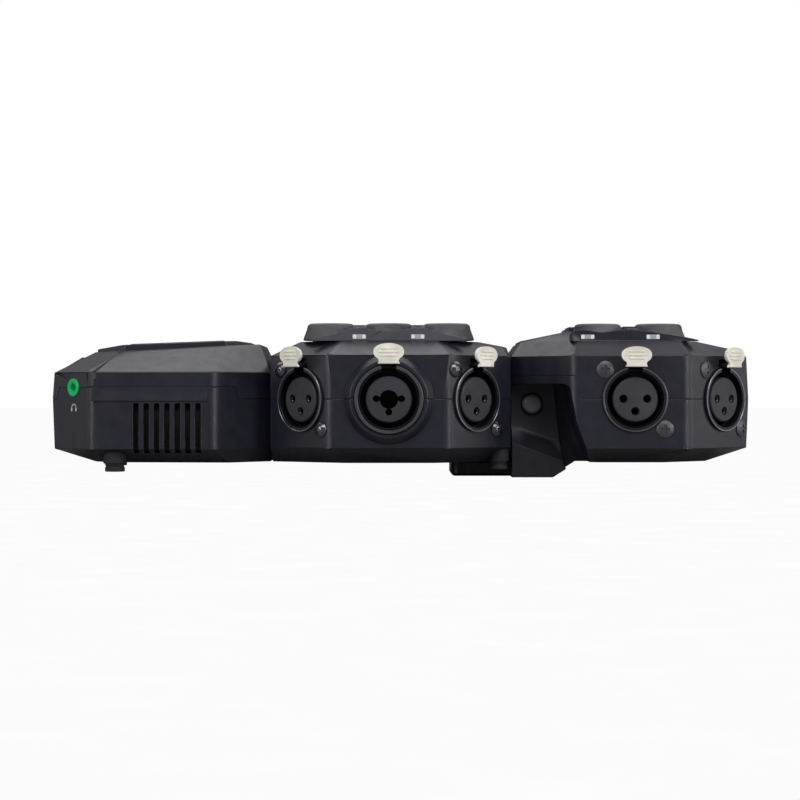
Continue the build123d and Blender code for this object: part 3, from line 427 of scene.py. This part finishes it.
def board_material():
    """Green solder mask with paler lanes in it."""
    t = Tree("board_green")
    lanes = t.noise(1.0, 2.0, 0.4, t.coords((260, 900, 300)))
    color = t.ramp(lanes, (0.01, 0.07, 0.03, 1), (0.02, 0.14, 0.06, 1), 0.48, 0.52)
    t.link(color, t.bsdf.inputs["Base Color"])
    t.bump([(lanes, 0.3)], BOARD_DEPTH)
    t.set(Roughness=0.35)
    return t.mat


def cell_material():
    """The dark printed wrap of a battery cell."""
    t = Tree("cell_wrap")
    band = t.noise(60.0, 2.0)
    t.link(t.ramp(band, (0.05, 0.05, 0.055, 1), (0.1, 0.1, 0.11, 1)), t.bsdf.inputs["Base Color"])
    t.bump([(t.noise(500.0), 0.15)], BOARD_DEPTH)
    t.set(Roughness=0.25)
    return t.mat


def glass_material():
    """Dark, slightly smeared display glass."""
    t = Tree("display_glass")
    smear = t.noise(45.0, 5.0, 0.6)
    t.link(t.ramp(smear, (0.008, 0.009, 0.011, 1), (0.013, 0.014, 0.017, 1)), t.bsdf.inputs["Base Color"])
    t.link(t.map_range(smear, 0.04, 0.11), t.bsdf.inputs["Roughness"])
    t.bump([(t.noise(30.0), 0.02)], GLASS_DEPTH)
    t.set(IOR=1.5, Coat_Weight=0.5, Coat_Roughness=0.03)
    return t.mat


def mesh_material():
    """Punched sheet behind the vent slots: a grid of holes painted as darker spots, painted shade in place of
    openings, with a bump for their relief.
    """
    t = Tree("vent_mesh")
    cells = t.add("TexVoronoi", feature="F1")
    cells.inputs["Scale"].default_value = 1100.0
    cells.inputs["Randomness"].default_value = 0.0
    t.link(t.coords(), cells.inputs["Vector"])
    # Painted shade: the middles of the cells are darkest, standing in for the holes.
    color = t.ramp(cells.outputs["Distance"], (0.001, 0.001, 0.001, 1), (0.005, 0.005, 0.007, 1), 0.3, 0.4)
    t.link(color, t.bsdf.inputs["Base Color"])
    t.bump([(cells.outputs["Distance"], 0.4)], PUNCH_DEPTH)
    t.set(Roughness=0.6, Metallic=0.5)
    return t.mat


BOARD = board_material()
CELL = cell_material()
GLASS = glass_material()
VENT_MESH = mesh_material()


# ------------------------------------------------------------------ cases and other CAD nodes
# The recess beside the release buttons, in millimetres: its ends along x, half its width and its top.
RECESS_X = (34, 66)
RECESS_Y = 34
RECESS_TOP = 33.6
SIDEWAYS = 0.6                 # least share of a normal that points sideways, for a face of the recess
PLUG_X = 46                    # where the capsule's plug ends on its board
USB_X = -116                   # where the USB socket begins on the main board
FACE_DEPTH = 0.02              # millimetres; points this near to the furthest one belong to its face


def paint(obj, mat, chosen):
    """Gives a second material to the faces of an object that a test picks by their centre and normal."""
    obj.data.materials.append(mat)
    index = len(obj.data.materials) - 1
    for poly in obj.data.polygons:
        if chosen(poly.center / MM, poly.normal):
            poly.material_index = index


def in_recess(centre, normal):
    """The cheeks and the hollow beside the release buttons, whose sideways faces get painted shade."""
    inside = RECESS_X[0] < centre.x < RECESS_X[1] and abs(centre.y) < RECESS_Y and centre.z < RECESS_TOP
    return inside and abs(normal.y) > SIDEWAYS


def face_middle(node_name, out):
    """The middle of the flat face of a node that lies furthest in a direction."""
    node = NODES[node_name]
    out = Vector(out).normalized()
    points = [node.matrix_world @ vert.co for vert in node.data.vertices]
    furthest = max(point.dot(out) for point in points)
    face = [point for point in points if point.dot(out) > furthest - FACE_DEPTH * MM]
    return Vector([(min(p[k] for p in face) + max(p[k] for p in face)) / 2 for k in range(3)])


SOFT_NODES = {                 # material, and rounding of the edges in millimetres
    "upper_case": (CASE, 0.3), "lower_case": (CASE, 0.3), "capsule_upper_case": (CASE, 0.2),
    "capsule_lower_case": (CASE, 0.3), "knob_guards": (GUARD, 0.14), "battery_door": (CASE, 0.25),
    "card_door": (CASE, 0.2), "power_switch": (KEY, 0.2), "release_button_near": (LIT_BUTTON, 0.2),
    "release_button_far": (LIT_BUTTON, 0.2), "rubber_feet": (RUBBER, 0.35), "display_lens": (GLASS, 0.25),
    "xlr_barrels": (BARREL, 0.2), "combo_barrels": (BARREL, 0.25), "capsule_xlr_barrels": (BARREL, 0.2),
    "socket_inserts": (INSERT, 0.15), "capsule_xlr_inserts": (INSERT, 0.15), "audio_jacks": (DARK, 0.12),
    "indicator_windows": (LIGHT_PIPE, 0.12), "capsule_indicator_windows": (LIGHT_PIPE, 0.12),
    "main_board": (BOARD, 0.05), "capsule_board": (BOARD, 0.05), "socket_screws": (SCREW, 0.08),
    "capsule_socket_screws": (SCREW_GREY, 0.1), "case_screws": (SCREW, 0.08),
}
PLAIN_NODES = {"display_module": DARK, "battery_cells": CELL, "speaker": DARK, "tripod_insert": BRASS}
GUARDED = ("knob_guards", "capsule_upper_case")    # the thin wavy walls, whose planes are left as they are
KEY_EDGE = 0.2
SOFT = {name: softened(name, mat, width, name not in GUARDED) for name, (mat, width) in SOFT_NODES.items()}
for node_name in NODES:
    if node_name.endswith("_key") or node_name.startswith("track_button"):
        SOFT[node_name] = softened(node_name, KEY, KEY_EDGE)
for node_name, mat in PLAIN_NODES.items():
    NODES[node_name].data.materials.clear()
    NODES[node_name].data.materials.append(mat)
# Painted shade: the sideways faces of the hollow beside the release buttons take the darker plastic.
paint(SOFT["capsule_lower_case"], SHADED_RECESS, in_recess)
paint(SOFT["capsule_board"], DARK, lambda centre, normal: centre.x < PLUG_X)
paint(SOFT["main_board"], PALE_METAL_AND_RIM_SHEEN, lambda centre, normal: centre.x < USB_X)


# ------------------------------------------------------------------ sockets
RING_EDGE = 0.12
RING_STEPS = 96
# Outer and inner radius, low and high end, material, edge, and the gap in degrees at the tab's notch.
THREE_PIN_RINGS = {
    # The three-pin rim is paler metal as a painted highlight of its edge.
    "rim": (11.35, 10.75, 0.85, 1.15, PALE_METAL_AND_RIM_SHEEN, 0.14, 27),
    "lip": (10.7, 9.96, 0.8, 0.98, BARREL, 0.08, 28),
    "inner_rim": (9.85, 9.4, -5.0, -2.4, BARREL, RING_EDGE, 32),
}
COMBINATION_RINGS = {
    "rim": (11.86, 10.64, 4.1, 4.42, RIM_DARK, 0.2, 27),
    "inner_rim": (10.5, 9.9, -1.0, 0.6, BARREL, RING_EDGE, 30),
}
INSERT_FRONT = 0.3             # front of a three-pin insulator over the mount
CONTACT_HOLE = 1.45            # radius of a contact's hole
CONTACT_PLACES = ((-4.15, 0.2), (4.15, 0.2), (0, -4.15))
# The sleeve's section: radius over that of the hole, and height over the insulator's front.
SLEEVE = ((-0.35, -4.6), (-0.02, -4.6), (-0.02, -1.05), (-0.12, -0.9), (-0.35, -1.15))


def ring(name, outer, inner, low, high, matrix, mat, body, edge=RING_EDGE, gap=0.0):
    """A thin ring with bevelled edges, standing on a plane, open at its top if it has a gap."""
    bm = bmesh.new()
    lathe(bm, [(inner, low), (outer, low), (outer, high - edge), (outer - edge, high), (inner + edge, high),
               (inner, high - edge)], matrix, RING_STEPS, gap=gap)
    return piece(name, bm, mat, body)


def contacts(name, matrix, body):
    """The spring sleeves in the three contact holes of an insulator, each with a lead-in."""
    bm = bmesh.new()
    section = [(CONTACT_HOLE + over, INSERT_FRONT + height) for over, height in SLEEVE]
    for x, y in CONTACT_PLACES:
        lathe(bm, section, matrix @ shift(x, y, 0), 32)
    # The sleeves take the darkened metal, painted shade of the holes.
    return piece(name, bm, SHADED_CONTACT, body)


def dress_socket(mount, letter, body):
    """Rings on a socket's barrel, the three-pin rim in paler metal as a painted highlight, and, in a three-pin
    socket, its contacts.
    """
    plane = frame_at(mount["pos_m"], mount["axis"])
    combination = mount["name"].startswith("combination")
    rings = COMBINATION_RINGS if combination else THREE_PIN_RINGS
    for part, (outer, inner, low, high, mat, edge, gap) in rings.items():
        ring(part + "_" + letter, outer, inner, low, high, plane, mat, body, edge, gap)
    if not combination:
        contacts("contacts_" + letter, plane, body)


SOCKET_MOUNTS = [mount for name, mount in MOUNTS.items() if "_input_" in name and "jack" not in name]
for mount in SOCKET_MOUNTS:
    letter = mount["name"].rsplit("_", 1)[1]
    dress_socket(mount, letter, "capsule" if letter in "efgh" else "recorder")


# ------------------------------------------------------------------ push tabs
TAB_HALF = (5.6, 3.0)          # half width and half height of the oval
TAB_NECK = (3.8, 1.1)          # half width and height of the foot
TAB_FOOT = ((0.1, 0.55), (0.65, 0.95), (0.75, 1.3))    # how far the foot has stepped in, at which height
OVAL_FROM, OVAL_SWEEP, OVAL_STEPS = -55, 290, 44
OVAL_PINCH = 0.06
TAB_FACE = 1.05                # thickness of the plate; the grip ridges bring it to the CAD's thickness
TAB_EDGE = 0.34
RIDGES = ((-1, 5.4), (0, 6.8), (1, 5.4))               # place and length of each grip ridge
RIDGE_PITCH = 1.25
RIDGE_WIDE, RIDGE_THICK, RIDGE_EDGE, RIDGE_SUNK = 0.56, 0.34, 0.12, 0.1
LATCH_LIFT = {"three": (11.3, 4.2), "combination": (12.2, 4.6)}    # the tab's foot over and before the mount
TONGUE_WIDE, TONGUE_THICK, TONGUE_CORNER = 4.4, 1.3, 0.3
TONGUE_RISE = 0.75             # the tongue's middle over the tab's foot
TONGUE_BACK = 3.2              # its back end behind the mount
TONGUE_MORE = 3.3              # its length over the tab's stand
PIN_RADIUS = 0.8
TAB_SMOOTH = 40                # degrees


def tab_outline():
    """The tab from the front: a wide oval on a short neck, in millimetres over its foot."""
    w, h = TAB_HALF
    half, foot = TAB_NECK
    points = [(-half, 0), (half, 0)] + [(half - inward, height) for inward, height in TAB_FOOT]
    for i in range(OVAL_STEPS + 1):
        t = radians(OVAL_FROM + OVAL_SWEEP * i / OVAL_STEPS)
        points.append((w * cos(t) * (1 - OVAL_PINCH * cos(2 * t)), foot + h + h * sin(t)))
    return points + [(inward - half, height) for inward, height in reversed(TAB_FOOT)]


def ridge_outline(length, width):
    """A long bar with round ends."""
    r = width / 2
    points = [(length / 2 - r + r * cos(radians(a)), r * sin(radians(a))) for a in range(-90, 91, 30)]
    return points + [(-x, -y) for x, y in points]


def build_tab(mount, letter):
    """The cream tab of a socket, with its grip ridges, which stands for the latch."""
    lift, stand = LATCH_LIFT[mount["name"].split("_")[0]]
    face = frame_at(mount["pos_m"], mount["axis"]) @ shift(0, lift, stand)
    node_name = "latch_" + letter
    bm = bmesh.new()
    slab(bm, tab_outline(), TAB_FACE, face, edge=TAB_EDGE)
    for i, length in RIDGES:
        grip = face @ shift(0, TAB_NECK[1] + TAB_HALF[1] + RIDGE_PITCH * i, TAB_FACE - RIDGE_SUNK)
        slab(bm, ridge_outline(length, RIDGE_WIDE), RIDGE_THICK, grip, edge=RIDGE_EDGE)
    obj = piece("tab_" + letter, bm, TAB, node_name, TAB_SMOOTH)
    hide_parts(node_name)


def build_tongue(mount, letter):
    """The dark tongue behind a tab, with the pin that it tips about."""
    lift, stand = LATCH_LIFT[mount["name"].split("_")[0]]
    back = frame_at(mount["pos_m"], mount["axis"])
    bm = bmesh.new()
    outline = rounded_rect(TONGUE_WIDE, TONGUE_THICK, TONGUE_CORNER, 3)
    slab(bm, outline, stand + TONGUE_MORE, back @ shift(0, lift + TONGUE_RISE, -TONGUE_BACK))
    side = back @ shift(-TONGUE_WIDE / 2, lift + TONGUE_RISE, -TONGUE_BACK) @ Matrix.Rotation(pi / 2, 4, "Y")
    slab(bm, circle(PIN_RADIUS, 24), TONGUE_WIDE, side)
    piece("tongue_" + letter, bm, DARK, "latch_" + letter, TAB_SMOOTH)


for mount in SOCKET_MOUNTS:
    letter = mount["name"].rsplit("_", 1)[1]
    build_tab(mount, letter)
    build_tongue(mount, letter)


# ------------------------------------------------------------------ knobs
KNOB_STEPS = 128
KNOB_SMOOTH = 50               # degrees
POINTER_LONG, POINTER_WIDE, POINTER_THICK, POINTER_EDGE = 3.6, 0.7, 0.42, 0.1
POINTER_Y, POINTER_Z = 4.3, 5.56
KNOB_PROFILE = [               # radius and height over the deck
    (0.3, -4.2), (3.0, -4.2), (3.0, 0.35), (9.45, 0.35), (9.75, 0.5), (9.8, 0.9), (9.62, 1.5), (9.36, 2.2),
    (9.05, 3.0), (8.78, 3.7), (8.55, 4.4), (8.4, 5.1), (8.3, 5.5), (8.1, 5.85), (7.75, 6.12), (7.3, 6.32),
    (6.95, 6.38), (6.7, 6.34), (6.45, 6.2), (6.2, 5.95), (6.0, 5.88), (3.0, 5.6), (0.3, 5.5),
]


def build_knob(node_name):
    """A dial with a flared side and a dished top, and a pale pointer let into it."""
    place = Matrix.Translation(Vector(JOINTS[node_name + "_hinge"]["pos_m"]))
    dial = bmesh.new()
    lathe(dial, KNOB_PROFILE, place, KNOB_STEPS, closed=False)
    dial.verts.ensure_lookup_table()
    dial.faces.new(dial.verts[:KNOB_STEPS][::-1])
    dial.faces.new(dial.verts[-KNOB_STEPS:])
    body = piece("dial_" + node_name, dial, KNOB, node_name, KNOB_SMOOTH)
    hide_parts(node_name)
    pointer = bmesh.new()
    plane = place @ shift(0, POINTER_Y, POINTER_Z) @ Matrix.Rotation(pi / 2, 4, "Z")
    slab(pointer, ridge_outline(POINTER_LONG, POINTER_WIDE), POINTER_THICK, plane, POINTER_EDGE)
    piece("pointer_" + node_name, pointer, PRINT, node_name)


for node_name in NODES:
    if node_name.startswith("gain_knob"):
        build_knob(node_name)


# ------------------------------------------------------------------ jacks, pictograms and vents
PRINT_THICK = 0.06
PRINT_SUNK = shift(0, 0, -0.01)    # prints begin a little under the face that they lie on


def bar(x, y, w, h, r=0.12):
    """The outline of a small printed bar about a point."""
    return [(x + px, y + py) for px, py in rounded_rect(w, h, r, 3)]


def arc_band(radius, width, start, end, x=0.0, y=0.0, steps=24):
    """The outline of a curved line of even width, between two angles in degrees."""
    turns = [radians(start + (end - start) * i / steps) for i in range(steps + 1)]
    outer = [(x + (radius + width / 2) * cos(a), y + (radius + width / 2) * sin(a)) for a in turns]
    inner = [(x + (radius - width / 2) * cos(a), y + (radius - width / 2) * sin(a)) for a in reversed(turns)]
    return outer + inner


def marks(name, outlines, matrix, mat, body, thick=PRINT_THICK):
    """Printed shapes with a little body of their own, on a plane."""
    bm = bmesh.new()
    for outline in outlines:
        slab(bm, outline, thick, matrix)
    return piece(name, bm, mat, body)


HEADPHONES = [
    arc_band(1.25, 0.34, 0, 180, 0, 0.2), bar(-1.25, -0.35, 0.8, 1.3, 0.3), bar(1.25, -0.35, 0.8, 1.3, 0.3),
]
LINE_OUT = [bar(-0.5, 0, 1.8, 0.36), [(0.4, -0.75), (1.6, 0.0), (0.4, 0.75)]]
JACK_REACH = 6.25              # from the middle of a jack's bore to the face of the case
JACK_RINGS = {                 # the jack's bore, outer and inner radius, low and high end, material and edge
    # The headphone collar's glow is painted light.
    "phones_collar": ("headphone_bore", 3.1, 1.85, 0.0, 0.62, GLOWING_GREEN, 0.2),
    "phones_bush": ("headphone_bore", 1.84, 1.5, -9.0, 0.35, GLOWING_GREEN, 0.06),
    "line_collar": ("line_out_bore", 3.0, 1.85, 0.0, 0.5, BARREL, 0.2),
    "line_bush": ("line_out_bore", 1.84, 1.6, -9.0, 0.35, PALE_METAL_AND_RIM_SHEEN, 0.06),
}
JACK_MARKS = {                 # the jack's bore, the outlines, and how far they lie under the bore
    "phones_mark": ("headphone_bore", HEADPHONES, 7.4),
    "line_mark": ("line_out_bore", LINE_OUT, 5.6),
}


def jack_face(name):
    """The plane of the case's face round a jack."""
    mount = MOUNTS[name]
    return frame_at(mount["pos_m"], mount["axis"]) @ shift(0, 0, JACK_REACH)


for name, (bore, outer, inner, low, high, mat, edge) in JACK_RINGS.items():
    ring(name, outer, inner, low, high, jack_face(bore), mat, "recorder", edge)
for name, (bore, outlines, drop) in JACK_MARKS.items():
    marks(name, outlines, jack_face(bore) @ shift(0, -drop, 0) @ PRINT_SUNK, PRINT, "recorder")


VENT_X = (-97.0, -66.5)        # ends of the vent sheet along the length
VENT_HIGH = (10.2, 27.0)       # its lower and upper edge
VENT_SHEET_Y = 45.4            # how far out it lies from the middle of the recorder
VENT_SHEET_THICK, VENT_SHEET_CORNER, VENT_SHEET_EDGE = 0.3, 0.5, 0.1


def vent_sheet():
    """The punched sheet that closes the vent slots from inside."""
    bm = bmesh.new()
    middle = (VENT_X[0] + VENT_X[1]) / 2 * MM
    high = (VENT_HIGH[0] + VENT_HIGH[1]) / 2 * MM
    plane = frame_at((middle, -VENT_SHEET_Y * MM, high), (0, -1, 0))
    outline = rounded_rect(VENT_X[1] - VENT_X[0], VENT_HIGH[1] - VENT_HIGH[0], VENT_SHEET_CORNER)
    slab(bm, outline, VENT_SHEET_THICK, plane, VENT_SHEET_EDGE)
    return piece("vent_sheet", bm, VENT_MESH, "recorder")


vent_sheet()


# ------------------------------------------------------------------ light windows in the guards
WINDOW_SIZE = (4.8, 1.7)
WINDOW_Z = 1.5                 # over the deck
WINDOW_XS = {"indicator_windows": (-15.05, 5.45), "capsule_indicator_windows": (65.2, 88.2)}
LAMP_WIDE, LAMP_CORNER = 1.15, 0.3
LAMP_INSET = 0.72              # middle of a lamp from the end of its window
LAMP_TRIM = 0.3                # how much lower it is than the window


def window_ends(node_name, xs):
    """The two brighter ends of each light window, where its lamps sit."""
    low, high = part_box(node_name)
    body = BODY_OF[node_name]
    reach = WINDOW_SIZE[0] / 2 - LAMP_INSET
    lamps = [bar(s * reach, 0, LAMP_WIDE, WINDOW_SIZE[1] - LAMP_TRIM, LAMP_CORNER) for s in (-1, 1)]
    for side, y, out in (("near", low.y, (0, -1, 0)), ("far", high.y, (0, 1, 0))):
        for i, x in enumerate(xs):
            plane = frame_at((x * MM, y, DECK_Z + WINDOW_Z * MM), out)
            marks("lamp_" + node_name + "_" + side + str(i), lamps, plane, PIPE_END, body)


for node_name, xs in WINDOW_XS.items():
    window_ends(node_name, xs)


# ------------------------------------------------------------------ display
DECK_FALL, DECK_RUN = 1.5, 40.7    # how far the display's plate falls, over which length
DECK_TILT = Vector((-sin(atan2(DECK_FALL, DECK_RUN)), 0, cos(atan2(DECK_FALL, DECK_RUN))))
BAR_SHARE = 0.17               # thickness of a digit's bars, as a share of its width
CLOCK = "001542"
CLOCK_X, CLOCK_Y, CLOCK_STEP, CLOCK_PAIR = -13.2, 10.6, 4.9, 1.0
CLOCK_DIGIT = (3.2, 5.6)
COLON_XS, COLON_YS, COLON_DOT = (-8.55, 2.25), (11.8, 9.4), 0.38
LEVELS = (17, 14, 19, 11, 15, 9)    # lit cells of each meter
METER_CELLS, METER_X, METER_Y, METER_STEP = 26, -14.6, 4.2, 3.3
CELL_STEP, CELL_WIDE, CELL_HIGH, CELL_CORNER = 1.3, 0.95, 1.9, 0.1
NUMBER_X, NUMBER_DIGIT = -17.4, (1.2, 2.2)
RULE_YS, RULE_LONG, RULE_WIDE, RULE_CORNER = (6.9, 14.9), 38.0, 0.16, 0.05
LIT_THICK, DIM_THICK = 0.04, 0.03
BEZEL_OUTER, BEZEL_INNER = (45.6, 33.6, 1.5), (41.6, 29.6, 1.0)    # width, height and corner
BEZEL_THICK = 0.06
SEGMENTS = {                   # the seven bars of a digit: x, y, width, height in fractions of its size
    "a": (0, 1, 1, 0), "b": (1, 0.5, 0, 1), "c": (1, -0.5, 0, 1), "d": (0, -1, 1, 0),
    "e": (-1, -0.5, 0, 1), "f": (-1, 0.5, 0, 1), "g": (0, 0, 1, 0),
}
DIGITS = {
    "0": "abcdef", "1": "bc", "2": "abged", "3": "abgcd", "4": "fgbc", "5": "afgcd", "6": "afgedc",
}


def digit(symbol, x, y, w, h):
    """The bars of one digit about a point."""
    t = w * BAR_SHARE
    shapes = []
    for name in DIGITS[symbol]:
        sx, sy, wide, high = SEGMENTS[name]
        if wide:
            shapes.append(bar(x, y + sy * (h - t) / 2, w - 1.4 * t, t, t * 0.45))
        else:
            shapes.append(bar(x + sx * (w - t) / 2, y + sy * (h - t) / 2, t, h / 2 - 0.8 * t, t * 0.45))
    return shapes


def display_shapes():
    """A running time over six level meters, read with the transport keys below it."""
    lit, dim = [], []
    for i, symbol in enumerate(CLOCK):
        lit += digit(symbol, CLOCK_X + CLOCK_STEP * i + CLOCK_PAIR * (i // 2), CLOCK_Y, *CLOCK_DIGIT)
    for x in COLON_XS:
        lit += [circle(COLON_DOT, 12, x, y) for y in COLON_YS]
    for row, level in enumerate(LEVELS):
        y = METER_Y - METER_STEP * row
        lit += digit(str(row + 1), NUMBER_X, y, *NUMBER_DIGIT)
        xs = [METER_X + CELL_STEP * k for k in range(METER_CELLS)]
        cells = [bar(x, y, CELL_WIDE, CELL_HIGH, CELL_CORNER) for x in xs]
        lit += cells[:level]
        dim += cells[level:]
    dim += [bar(0, y, RULE_LONG, RULE_WIDE, RULE_CORNER) for y in RULE_YS]
    return lit, dim


def build_bezel(plane):
    """The dark frame printed round the display."""
    bezel = bmesh.new()
    outer, inner = rounded_rect(*BEZEL_OUTER), rounded_rect(*BEZEL_INNER)
    rings = []
    for outline, z in ((outer, 0.0), (outer, BEZEL_THICK), (inner, BEZEL_THICK), (inner, 0.0)):
        rings.append([bezel.verts.new(plane @ Vector((x * MM, y * MM, z * MM))) for x, y in outline])
    for low, high in zip(rings, rings[1:] + rings[:1]):
        for k in range(len(low)):
            n = (k + 1) % len(low)
            bezel.faces.new((low[k], low[n], high[n], high[k]))
    piece("display_bezel", bezel, DARK, "recorder")


def build_display():
    """The picture on the display, and its frame."""
    plane = frame_at(face_middle("display_lens", DECK_TILT), DECK_TILT, up=(1, 0, 0))
    lit, dim = display_shapes()
    marks("display_lit", lit, plane @ PRINT_SUNK, SCREEN_LIT, "recorder", LIT_THICK)
    marks("display_dim", dim, plane @ PRINT_SUNK, SCREEN_DIM, "recorder", DIM_THICK)
    build_bezel(plane)


build_display()


# ------------------------------------------------------------------ marks on keys and buttons
MARK_THICK = 0.07
DASH = bar(0, 0, 2.6, 0.5, 0.2)


def triangle(x, way, size=1.15):
    """The outline of an arrow head about x, pointing to +x or to -x."""
    reach = way * size * 0.8
    return [(x - reach, -size), (x + reach, 0), (x - reach, size)][::way]


KEY_MARKS = {
    "record_key": (RED, [circle(1.35, 28)]),
    "play_key": (PRINT, [triangle(0, 1, 1.4)]),
    "stop_key": (PRINT, [bar(0, 0, 2.3, 2.3, 0.15)]),
    "rewind_key": (PRINT, [triangle(-0.95, -1), triangle(0.95, -1)]),
    "forward_key": (PRINT, [triangle(-0.95, 1), triangle(0.95, 1)]),
}
KEY_OUT = -Vector(JOINTS["record_key_slide"]["axis"])
for key_name, (mat, shapes) in KEY_MARKS.items():
    plane = frame_at(face_middle(key_name, KEY_OUT), KEY_OUT, up=(0, 1, 0)) @ Matrix.Rotation(-pi / 2, 4, "Z")
    marks("mark_" + key_name, shapes, plane @ PRINT_SUNK, mat, key_name, thick=MARK_THICK)
for node_name in NODES:
    if node_name.startswith("track_button"):
        plane = frame_at(face_middle(node_name, UP), UP, up=(0, 1, 0))
        marks("mark_" + node_name, [DASH], plane @ PRINT_SUNK, PRINT, node_name, thick=MARK_THICK)


# ------------------------------------------------------------------ camera, floor and light
FLOOR_SIZE = 14
LIGHTS = {                     # place, target and size in metres, and power in watts
    "overhead": ((0, 0.4, 0.85), (0, 0, 0), (1.4, 0.7), 6.0),
    "front_high": ((0.1, -1.1, 1.1), (0, 0, 0.03), (1.2, 0.5), 10.0),
    "strip_left": ((-0.95, -0.95, 0.2), (0, 0, 0.03), (0.14, 0.9), 6.0),
    "strip_right": ((0.95, -0.95, 0.2), (0, 0, 0.03), (0.14, 0.9), 6.5),
    "right": ((1.3, -0.2, 0.3), (0, 0, 0.03), (0.7, 0.6), 4.0),
    "left": ((-1.3, -0.2, 0.3), (0, 0, 0.03), (0.7, 0.6), 1.3),
}


def aim(obj, target):
    """Turns a light so that it shines at a point."""
    obj.rotation_euler = (Vector(target) - obj.location).to_track_quat("-Z", "Y").to_euler()


def make_camera():
    """A long lens in front of the near side, level with the sockets."""
    data = bpy.data.cameras.new("camera")
    data.lens = LENS_MM
    data.sensor_width = SENSOR_MM
    cam = bpy.data.objects.new("camera", data)
    cam.location = (CAMERA_X, -CAMERA_DISTANCE, CAMERA_HEIGHT)
    cam.rotation_euler = (pi / 2, 0, 0)
    bpy.context.collection.objects.link(cam)
    bpy.context.scene.camera = cam


def area_light(name, place, target, size, watts):
    """A rectangular light that shines at a point."""
    data = bpy.data.lights.new(name, "AREA")
    data.shape = "RECTANGLE"
    data.size, data.size_y = size
    data.energy = watts
    light = bpy.data.objects.new(name, data)
    light.location = place
    aim(light, target)
    bpy.context.collection.objects.link(light)


def make_world(seen, lit):
    """A pale studio: bright where it is seen, softer as a light."""
    world = bpy.data.worlds.new("studio")
    bpy.context.scene.world = world
    world.use_nodes = True
    nodes, links = world.node_tree.nodes, world.node_tree.links
    nodes.clear()
    path = nodes.new("ShaderNodeLightPath")
    mix = nodes.new("ShaderNodeMixShader")
    out = nodes.new("ShaderNodeOutputWorld")
    links.new(path.outputs["Is Camera Ray"], mix.inputs["Fac"])
    for slot, strength in ((1, lit), (2, seen)):
        sky = nodes.new("ShaderNodeBackground")
        sky.inputs["Color"].default_value = (1, 1, 1, 1)
        sky.inputs["Strength"].default_value = strength
        links.new(sky.outputs["Background"], mix.inputs[slot])
    links.new(mix.outputs["Shader"], out.inputs["Surface"])


def floor_surface(t, seen, lit):
    """Paper that is as bright as the backdrop where the camera sees it, and dimmer as a light."""
    tone = t.ramp(t.noise(60.0, 4.0), (0.955, 0.955, 0.955, 1), (0.98, 0.98, 0.98, 1))
    bright = t.add("Emission")
    t.link(tone, bright.inputs["Color"])
    bright.inputs["Strength"].default_value = seen
    paper = t.add("BsdfDiffuse")
    paper.inputs["Color"].default_value = (lit, lit, lit, 1)
    seen_by_camera = t.add("LightPath").outputs["Is Camera Ray"]
    return t.mix(seen_by_camera, paper.outputs["BSDF"], bright.outputs["Emission"])


def make_floor(seen, lit):
    """A pale paper floor, clear from below."""
    bpy.ops.mesh.primitive_plane_add(size=FLOOR_SIZE, location=(0, 0, 0))
    floor = bpy.context.object
    floor.name = "floor"
    t = Tree("floor_paper")
    paper = floor_surface(t, seen, lit)
    clear = t.add("BsdfTransparent")
    both = t.mix(t.add("NewGeometry").outputs["Backfacing"], paper, clear.outputs["BSDF"])
    t.link(both, t.nodes["Material Output"].inputs["Surface"])
    floor.data.materials.append(t.mat)


make_camera()
make_world(seen=1.0, lit=0.15)
make_floor(seen=1.0, lit=0.30)
for name, (place, target, size, watts) in LIGHTS.items():
    area_light(name, place, target, size, watts)
bpy.context.scene.view_settings.view_transform = "Standard"
